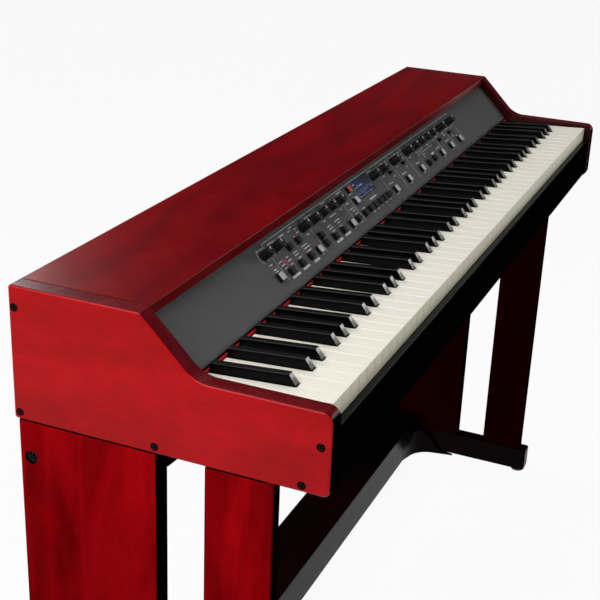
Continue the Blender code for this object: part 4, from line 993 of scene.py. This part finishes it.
class PIANO_OT_end_panels(bpy.types.Operator):
    """Build the two end panels with their arm, cove, slope and rounded outer edge"""
    bl_idname = "piano.end_panels"
    bl_label = "End panels"

    def execute(self, context):
        sizes = context.scene.piano_sizes
        corners = (case_corner(*ARM_NOSE), case_corner(*COVE), case_corner(*SHOULDER),
                   (CASE_BACK, CASE_TOP, REAR_ROUND), (CASE_BACK, CASE_BOTTOM, REAR_ROUND),
                   (NOSE_FRONT, CASE_BOTTOM, TOE_ROUND))
        for side, low, high, rims in (
                ("left", -HALF_OUTER, -HALF_INNER, (sizes.side_outer_round, sizes.side_inner_round)),
                ("right", HALF_INNER, HALF_OUTER, (sizes.side_inner_round, sizes.side_outer_round))):
            board = extruded(corners, side_frame(), low, high, segments=14, low_rim=rims[0],
                             high_rim=rims[1], rim_segments=5)
            outer = low if side == "left" else high
            heads = []
            for spot in SCREW_PLACES:
                place = outward(outer, *from_keys(*spot))
                board = cut_away(board, cylinder(place, sizes.screw_radius + SCREW_ROOM, -SCREW_SINK, MM))
                seat = place @ Matrix.Translation((0, 0, HAIR - SCREW_SINK))
                heads.append(socket_head(seat, sizes.screw_radius, SCREW_HEIGHT))
            add_piece("end_panel_" + side, board, "red_beech_side",
                      replaced="side_panel_" + side, edge="red_beech_edge", across=Vector((1, 0, 0)),
                      front="black_dull_lacquer")
            add_piece("panel_screws_" + side, gather(heads), "blackened_steel")
        return {'FINISHED'}


class PIANO_OT_case_boards(bpy.types.Operator):
    """Build the top board and the key slip, and finish the back and bottom boards"""
    bl_idname = "piano.case_boards"
    bl_label = "Case boards"

    def execute(self, context):
        under, over = LID_LIP_ROUNDS
        lid = ((LID_FRONT, LID_UNDER, under), (LID_FRONT, CASE_TOP, over), (CASE_BACK, CASE_TOP, REAR_ROUND),
               (CASE_BACK, LID_UNDER, 0))
        reach = HALF_SPAN - LID_JOINT
        board = extruded(lid, side_frame(), -reach, reach, segments=5, low_rim=LID_RIM, high_rim=LID_RIM,
                         rim_segments=2)
        add_piece("lid_board", board, "red_beech_lid", replaced="top_board")
        low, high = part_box("key_slip")
        front_top, rear_top, front_foot = SLIP_ROUNDS
        slip = ((low.y, high.z, front_top), (high.y, high.z, rear_top), (high.y, low.z, 0),
                (low.y, low.z, front_foot))
        board = extruded(slip, side_frame(), low.x, high.x, segments=5)
        add_piece("slip_board", board, "black_satin_lacquer", replaced="key_slip",
                  edge="black_dull_lacquer", across=Vector((0, 0, 1)))
        for node in ("back_panel", "bottom_board"):
            refinish(node, "dark_beech_long")
        return {'FINISHED'}


class PIANO_OT_white_keys(bpy.types.Operator):
    """Build the 52 white keys, all keys of one note as one piece"""
    bl_idname = "piano.white_keys"
    bl_label = "White keys"

    def execute(self, context):
        for note in WHITE_NOTES:
            keys = [white_key(wide, narrow) for name, wide, narrow in white_places() if name == note]
            add_piece("white_keys_" + note, gather(keys + [tails(note)]), "ivory_acrylic_front",
                      "keys_" + note, "keys_" + note, edge="ivory_acrylic",
                      across=Vector((0, 1, 0)))
        return {'FINISHED'}


class PIANO_OT_black_keys(bpy.types.Operator):
    """Build the 36 black keys, all keys of one note as one piece"""
    bl_idname = "piano.black_keys"
    bl_label = "Black keys"

    def execute(self, context):
        for note in BLACK_CENTRES:
            keys = [black_key(x) for name, x in black_places() if name == note]
            add_piece("black_keys_" + note, gather(keys + [tails(note)]), "ebony_abs_side",
                      "keys_" + note, "keys_" + note, edge="ebony_abs",
                      across=Vector((1, 0, 0)))
        return {'FINISHED'}


class PIANO_OT_panel(bpy.types.Operator):
    """Finish the control panel and build the felt strip, the display and its lit bars"""
    bl_idname = "piano.panel"
    bl_label = "Panel, felt and display"

    def execute(self, context):
        refinish("control_panel", "grey_powder_coat")
        felt = softened("felt_strip", width=0.6 * MM)
        top = max(vert.co.z for vert in felt.verts)
        bmesh.ops.translate(felt, vec=(0, 0, -FELT_ROOM),
                            verts=[vert for vert in felt.verts if vert.co.z > top - FELT_CROWN])
        add_piece("felt_band", felt, "wool_felt", replaced="felt_strip")
        add_piece("display_window", softened("display", width=0.2 * MM, segments=2), "display_glass",
                  replaced="display")
        marks = [bar(*bounds, lift=DISPLAY_MARK_LIFT) for bounds in DISPLAY_BARS]
        add_piece("display_bars", gather(marks), "lit_display_ink")
        return {'FINISHED'}


class PIANO_OT_print(bpy.types.Operator):
    """Print the panel with plain lines, bars, arcs and ticks"""
    bl_idname = "piano.print"
    bl_label = "Panel print"

    def execute(self, context):
        half = LINE_WIDTH / 2
        lines = [bar(left, right, up - half, up + half) for left, right, up in LEVEL_LINES]
        lines += [bar(along - half, along + half, low, high) for along, low, high in UPRIGHT_LINES]
        words = [letter for place in CAPTIONS for letter in caption(*place)]
        words += [bar(*bounds) for bounds in FILLED_CAPTIONS]
        scales = [scale_arc(KNOB_PLACES[i - 1]) for i in ARC_KNOBS]
        scales += [tick for i in TICKED_KNOBS for tick in scale_ticks(KNOB_PLACES[i - 1])]
        for name, solids in (("panel_lines", lines), ("panel_captions", words), ("knob_scales", scales)):
            add_piece(name, gather(solids), "screen_print")
        return {'FINISHED'}


class PIANO_OT_lamps(bpy.types.Operator):
    """Build the indicator lamps of the control panel and the lamp bar"""
    bl_idname = "piano.lamps"
    bl_label = "Indicator lamps"

    def execute(self, context):
        wide, tall = (size / 2 for size in LAMP_SIZE)
        lamps = [slab(*metres(((-wide, -tall, -0.5), (wide, tall, 0.5))), on_panel(along, up), rim=0.3 * MM)
                 for along, up in LAMPS]
        along, up, width, height = LAMP_BAR
        step = height / LAMP_BAR_PARTS
        wide, tall = width / 2, step * 0.4
        lamps += [slab(*metres(((-wide, -tall, -0.5), (wide, tall, 0.4))),
                       on_panel(along, up + step * (i - LAMP_BAR_PARTS // 2)), rim=0.2 * MM)
                  for i in range(LAMP_BAR_PARTS)]
        add_piece("indicator_lamps", gather(lamps), "lamp_plastic")
        return {'FINISHED'}


class PIANO_OT_knobs(bpy.types.Operator):
    """Build the 17 knobs with their white pointers"""
    bl_idname = "piano.knobs"
    bl_label = "Knobs"

    def execute(self, context):
        for i, along in enumerate(KNOB_PLACES, start=1):
            place = on_panel(along, KNOB_ROW)
            number = "%02d" % i
            add_piece("knob_cap_" + number, turned(metres(KNOB_PROFILE), place, steps=32), "black_rubber",
                      "knob_" + number, "knob_" + number)
            add_piece("knob_pointer_" + number, slab(*metres(KNOB_POINTER), place, rim=0.15 * MM),
                      "screen_print", "knob_" + number)
        return {'FINISHED'}


class PIANO_OT_buttons(bpy.types.Operator):
    """Build the 33 push buttons on the plates that join them"""
    bl_idname = "piano.buttons"
    bl_label = "Push buttons"

    def execute(self, context):
        rim = context.scene.piano_sizes.cap_round
        out = on_panel().to_3x3() @ Vector((0, 0, 1))
        foot = -PANEL_SHEET - SEAM
        for section, buttons in BUTTONS.items():
            node = "buttons_" + section
            plate = cut_copy(node, on_panel() @ Vector((0, 0, foot)), out)
            add_piece("button_plate_" + section, plate, "black_rubber", node, node)
            groups = {}
            for along, up, kind in buttons:
                wide, tall = (size * MM / 2 for size in CAP_SIZES[kind])
                cap = extruded(rectangle((-wide, -tall), (wide, tall), CAP_CORNER, CAP_CORNER),
                               on_panel(along, up), foot, CAP_RISE, segments=3, high_rim=rim, rim_segments=3)
                dish(cap, out)
                groups.setdefault(CAP_FINISHES.get(kind, "black_rubber"), []).append(cap)
            for material, caps in groups.items():
                add_piece("%s_caps_%s" % (material.split("_")[0], section), gather(caps), material,
                          node, edge="black_rubber", across=out)
        return {'FINISHED'}


class PIANO_OT_stand(bpy.types.Operator):
    """Build the legs, feet, shelf and rail of the stand with softened edges"""
    bl_idname = "piano.stand"
    bl_label = "Stand"

    def execute(self, context):
        edge = context.scene.piano_sizes.board_round
        for side in ("left", "right"):
            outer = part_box("leg_rear_" + side)[int(side == "right")].x
            bolt = outward(outer, *from_keys(*LEG_BOLT_PLACE))
            for end, segments in (("front", 12), ("rear", 4)):
                low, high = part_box("leg_%s_%s" % (end, side))
                nose = (high.x - low.x) / 2 - HAIR if end == "front" else LEG_ROUND
                leg = extruded(rectangle(low, high, nose, LEG_ROUND), Matrix.Identity(4), low.z, high.z,
                               segments=segments, low_rim=LEG_RIM, high_rim=LEG_RIM, rim_segments=2)
                if end == "rear":
                    leg = cut_away(leg, cylinder(bolt, WASHER_RADIUS + SCREW_ROOM, -BOLT_SINK, MM))
                add_piece("%s_leg_%s" % (end, side), leg, "red_beech_leg",
                          replaced="leg_%s_%s" % (end, side), edge="black_dull_lacquer",
                          across=Vector((1, 0, 0)))
                refinish("glide_%s_%s" % (end, side), "glide_rubber")
            seat = bolt @ Matrix.Translation((0, 0, HAIR - BOLT_SINK))
            washer = turned(metres(WASHER), seat, steps=32)
            head = socket_head(seat @ Matrix.Translation((0, 0, WASHER[-1][1] * MM + HAIR)), *BOLT_HEAD)
            add_piece("leg_bolt_" + side, gather([washer, head]), "blackened_steel")
            add_piece("foot_board_" + side, softened("foot_" + side, edge), "dark_beech_deep",
                      replaced="foot_" + side)
            add_piece("corner_bracket_" + side, softened("leg_bracket_" + side, width=0.4 * MM, segments=2),
                      "blackened_steel", replaced="leg_bracket_" + side)
        for name, board, node in (
                ("shelf_board", softened("stretcher_shelf", edge), "stretcher_shelf"),
                ("lower_rail", softened("stretcher_rail", width=0.6 * MM, segments=2), "stretcher_rail")):
            add_piece(name, board, "dark_beech_long", replaced=node)
        return {'FINISHED'}


class PIANO_OT_inside(bpy.types.Operator):
    """Finish the parts inside the case and build the sockets of the back"""
    bl_idname = "piano.inside"
    bl_label = "Inside and back"

    def execute(self, context):
        for node, material in (("key_frame", "galvanised_steel"), ("pivot_rod", "bright_steel"),
                               ("main_board", "circuit_laminate"), ("power_supply", "zinc_case"),
                               ("jack_plate", "painted_plate")):
            refinish(node, material)
        nuts, cups, pins = [], [], []
        for along, radius, count in ROUND_SOCKETS:
            place = in_back(along)
            nuts.append(socket_ring(NUT_PROFILE, radius, place))
            cups.append(socket_ring(CUP_PROFILE, radius, place))
            for i in range(count):
                turn = Matrix.Rotation(math.pi * i / (count - 1), 4, 'Z')
                spot = place @ Matrix.Translation(turn @ Vector((PIN_CIRCLE * MM, 0, 0)))
                pins.append(cylinder(spot, *PIN_SHAPE, sides=PIN_SIDES))
        place = in_back(INLET_ALONG)
        depth, floor, mouth = INLET_DEPTHS
        wide, tall = (half * MM for half in INLET_HALF)
        shell = extruded(rectangle((-wide, -tall), (wide, tall), MM, MM), place, depth, mouth, segments=4,
                         high_rim=0.4 * MM)
        wide, tall = (half - INLET_WALL for half in INLET_HALF)
        slant = INLET_SLANT
        inner = metres(((-wide, -tall, 1), (wide, -tall, 1), (wide, tall - slant, 1), (wide - slant, tall, 1),
                        (slant - wide, tall, 1), (-wide, tall - slant, 1)))
        shell = cut_away(shell, extruded(inner, place, floor, MM, segments=4))
        for along, up in INLET_PINS:
            spot = place @ Matrix.Translation((along * MM, up * MM, 0))
            pins.append(slab(*metres(INLET_PIN), spot, rim=0.3 * MM))
        add_piece("socket_nuts", gather(nuts), "tin_contact")
        add_piece("socket_cups", gather(cups), "socket_black")
        add_piece("inlet_shell", shell, "black_abs")
        add_piece("socket_pins", gather(pins), "tin_contact")
        return {'FINISHED'}


def add_lamp(name, place, target, watts, width, height):
    """Soft box that shines at a point."""
    data = bpy.data.lights.new(name, 'AREA')
    data.shape = 'RECTANGLE'
    data.size = width
    data.size_y = height
    data.energy = watts
    lamp = bpy.data.objects.new(name, data)
    lamp.location = place
    lamp.rotation_mode = 'QUATERNION'
    lamp.rotation_quaternion = (Vector(target) - Vector(place)).to_track_quat('-Z', 'Y')
    bpy.context.scene.collection.objects.link(lamp)


def add_camera():
    """The photograph's camera."""
    data = bpy.data.cameras.new("photo_camera")
    data.sensor_width = CAMERA_SENSOR
    data.lens = CAMERA_LENS
    camera = bpy.data.objects.new("photo_camera", data)
    right, forward = Vector(CAMERA_RIGHT), Vector(CAMERA_FORWARD)
    turn = Matrix((right, right.cross(forward), -forward)).transposed()
    camera.matrix_world = Matrix.Translation(CAMERA_PLACE) @ turn.to_4x4()
    bpy.context.scene.collection.objects.link(camera)
    bpy.context.scene.camera = camera


def seen_rays(tree):
    """The light path, and whether a ray comes straight from the camera or through glass."""
    ray = put(tree, "LightPath")
    seen = put(tree, "Math", {
        0: ray.outputs["Is Camera Ray"], 1: ray.outputs["Is Transmission Ray"]}, operation='MAXIMUM')
    return ray, seen


def add_world():
    """White surroundings: plain white to the eye, mirrored only near the horizon, and faint on matt
    surfaces, so that the soft boxes give the light."""
    world = bpy.data.worlds.new("white_studio")
    world.use_nodes = True
    bpy.context.scene.world = world
    tree = world.node_tree
    tree.nodes.clear()
    ray, seen = seen_rays(tree)
    rise = put(tree, "SeparateXYZ", {
        "Vector": put(tree, "TexCoord").outputs["Generated"]})
    low = put(tree, "MapRange", {
        "Value": rise.outputs["Z"], "From Min": HORIZON[0], "From Max": HORIZON[1], "To Min": 1.0,
        "To Max": 0.0})
    mirrored = put(tree, "Math", {0: ray.outputs["Is Glossy Ray"], 1: low}, operation='MULTIPLY')
    shown = put(tree, "Math", {0: seen, 1: mirrored}, operation='MAXIMUM')
    ambient = put(tree, "Math", {0: ray.outputs["Is Diffuse Ray"], 1: AMBIENT},
                  operation='MULTIPLY')
    strength = put(tree, "Math", {0: shown, 1: ambient}, operation='MAXIMUM')
    back = put(tree, "Background", {"Color": linear("#ffffff"), "Strength": strength})
    put(tree, "OutputWorld", {"Surface": back})


def add_floor():
    """Matt white paper under the piano: even to the eye, and only its shadow shows on it."""
    solid = bmesh.new()
    bmesh.ops.create_grid(solid, x_segments=1, y_segments=1, size=FLOOR_HALF)
    bmesh.ops.translate(solid, verts=solid.verts, vec=(0, 0, -FLOOR_DROP))
    mesh = bpy.data.meshes.new("floor")
    solid.to_mesh(mesh)
    solid.free()
    material, tree, shader = start_material("white_paper")
    cloud = put(tree, "TexNoise", {
        "Vector": put(tree, "TexCoord").outputs["Object"], "Scale": per_mm(FLOOR_CLOUD)})
    tone = put(tree, "ValToRGB", {"Fac": cloud},
               stops=((0.3, linear("#c5c5c5")), (0.7, linear("#cbcbcb"))))
    wire(tree, shader, {"Base Color": tone, "Roughness": 0.9})
    ray, seen = seen_rays(tree)
    shown = put(tree, "Math", {0: seen, 1: ray.outputs["Is Glossy Ray"]}, operation='MAXIMUM')
    share = put(tree, "Math", {0: shown, 1: FLOOR_SHOWN}, operation='MULTIPLY')
    white = put(tree, "Emission", {"Strength": 1.0})
    mix = put(tree, "MixShader", {0: share, 1: shader, 2: white})
    wire(tree, tree.nodes["Material Output"], {"Surface": mix})
    mesh.materials.append(material)
    floor = bpy.data.objects.new("floor", mesh)
    bpy.context.scene.collection.objects.link(floor)


class PIANO_OT_stage(bpy.types.Operator):
    """Set up the camera, the soft boxes, the white surroundings and the pale floor"""
    bl_idname = "piano.stage"
    bl_label = "Floor, light and camera"

    def execute(self, context):
        context.scene.view_settings.view_transform = 'Standard'
        add_camera()
        for name, details in SOFT_BOXES.items():
            add_lamp(name, *details)
        add_world()
        add_floor()
        return {'FINISHED'}


class PIANO_PT_sidebar(bpy.types.Panel):
    """Lists the pieces of the piano with their sizes and colours"""
    bl_idname = "PIANO_PT_sidebar"
    bl_label = "Stage piano"
    bl_space_type = 'VIEW_3D'
    bl_region_type = 'UI'
    bl_category = "Stage piano"

    def draw(self, context):
        for operator in OPERATORS:
            self.layout.operator(operator.bl_idname)
        for group in (context.scene.piano_sizes, context.scene.piano_colours):
            for name in group.__annotations__:
                self.layout.prop(group, name)


OPERATORS = (PIANO_OT_end_panels, PIANO_OT_case_boards, PIANO_OT_white_keys, PIANO_OT_black_keys,
             PIANO_OT_panel, PIANO_OT_print, PIANO_OT_lamps, PIANO_OT_knobs, PIANO_OT_buttons,
             PIANO_OT_stand, PIANO_OT_inside, PIANO_OT_stage)
CLASSES = (PianoColours, PianoSizes) + OPERATORS + (PIANO_PT_sidebar,)


def register():
    """Register the classes and put the settings on the scene."""
    for item in CLASSES:
        bpy.utils.register_class(item)
    bpy.types.Scene.piano_colours = PointerProperty(type=PianoColours)
    bpy.types.Scene.piano_sizes = PointerProperty(type=PianoSizes)


def unregister():
    """Take the settings off the scene and unregister the classes."""
    del bpy.types.Scene.piano_sizes
    del bpy.types.Scene.piano_colours
    for item in reversed(CLASSES):
        bpy.utils.unregister_class(item)


def main():
    """Build every piece."""
    register()
    for operator in OPERATORS:
        getattr(bpy.ops.piano, operator.bl_idname.split(".")[1])()


if __name__ == "__main__":
    main()
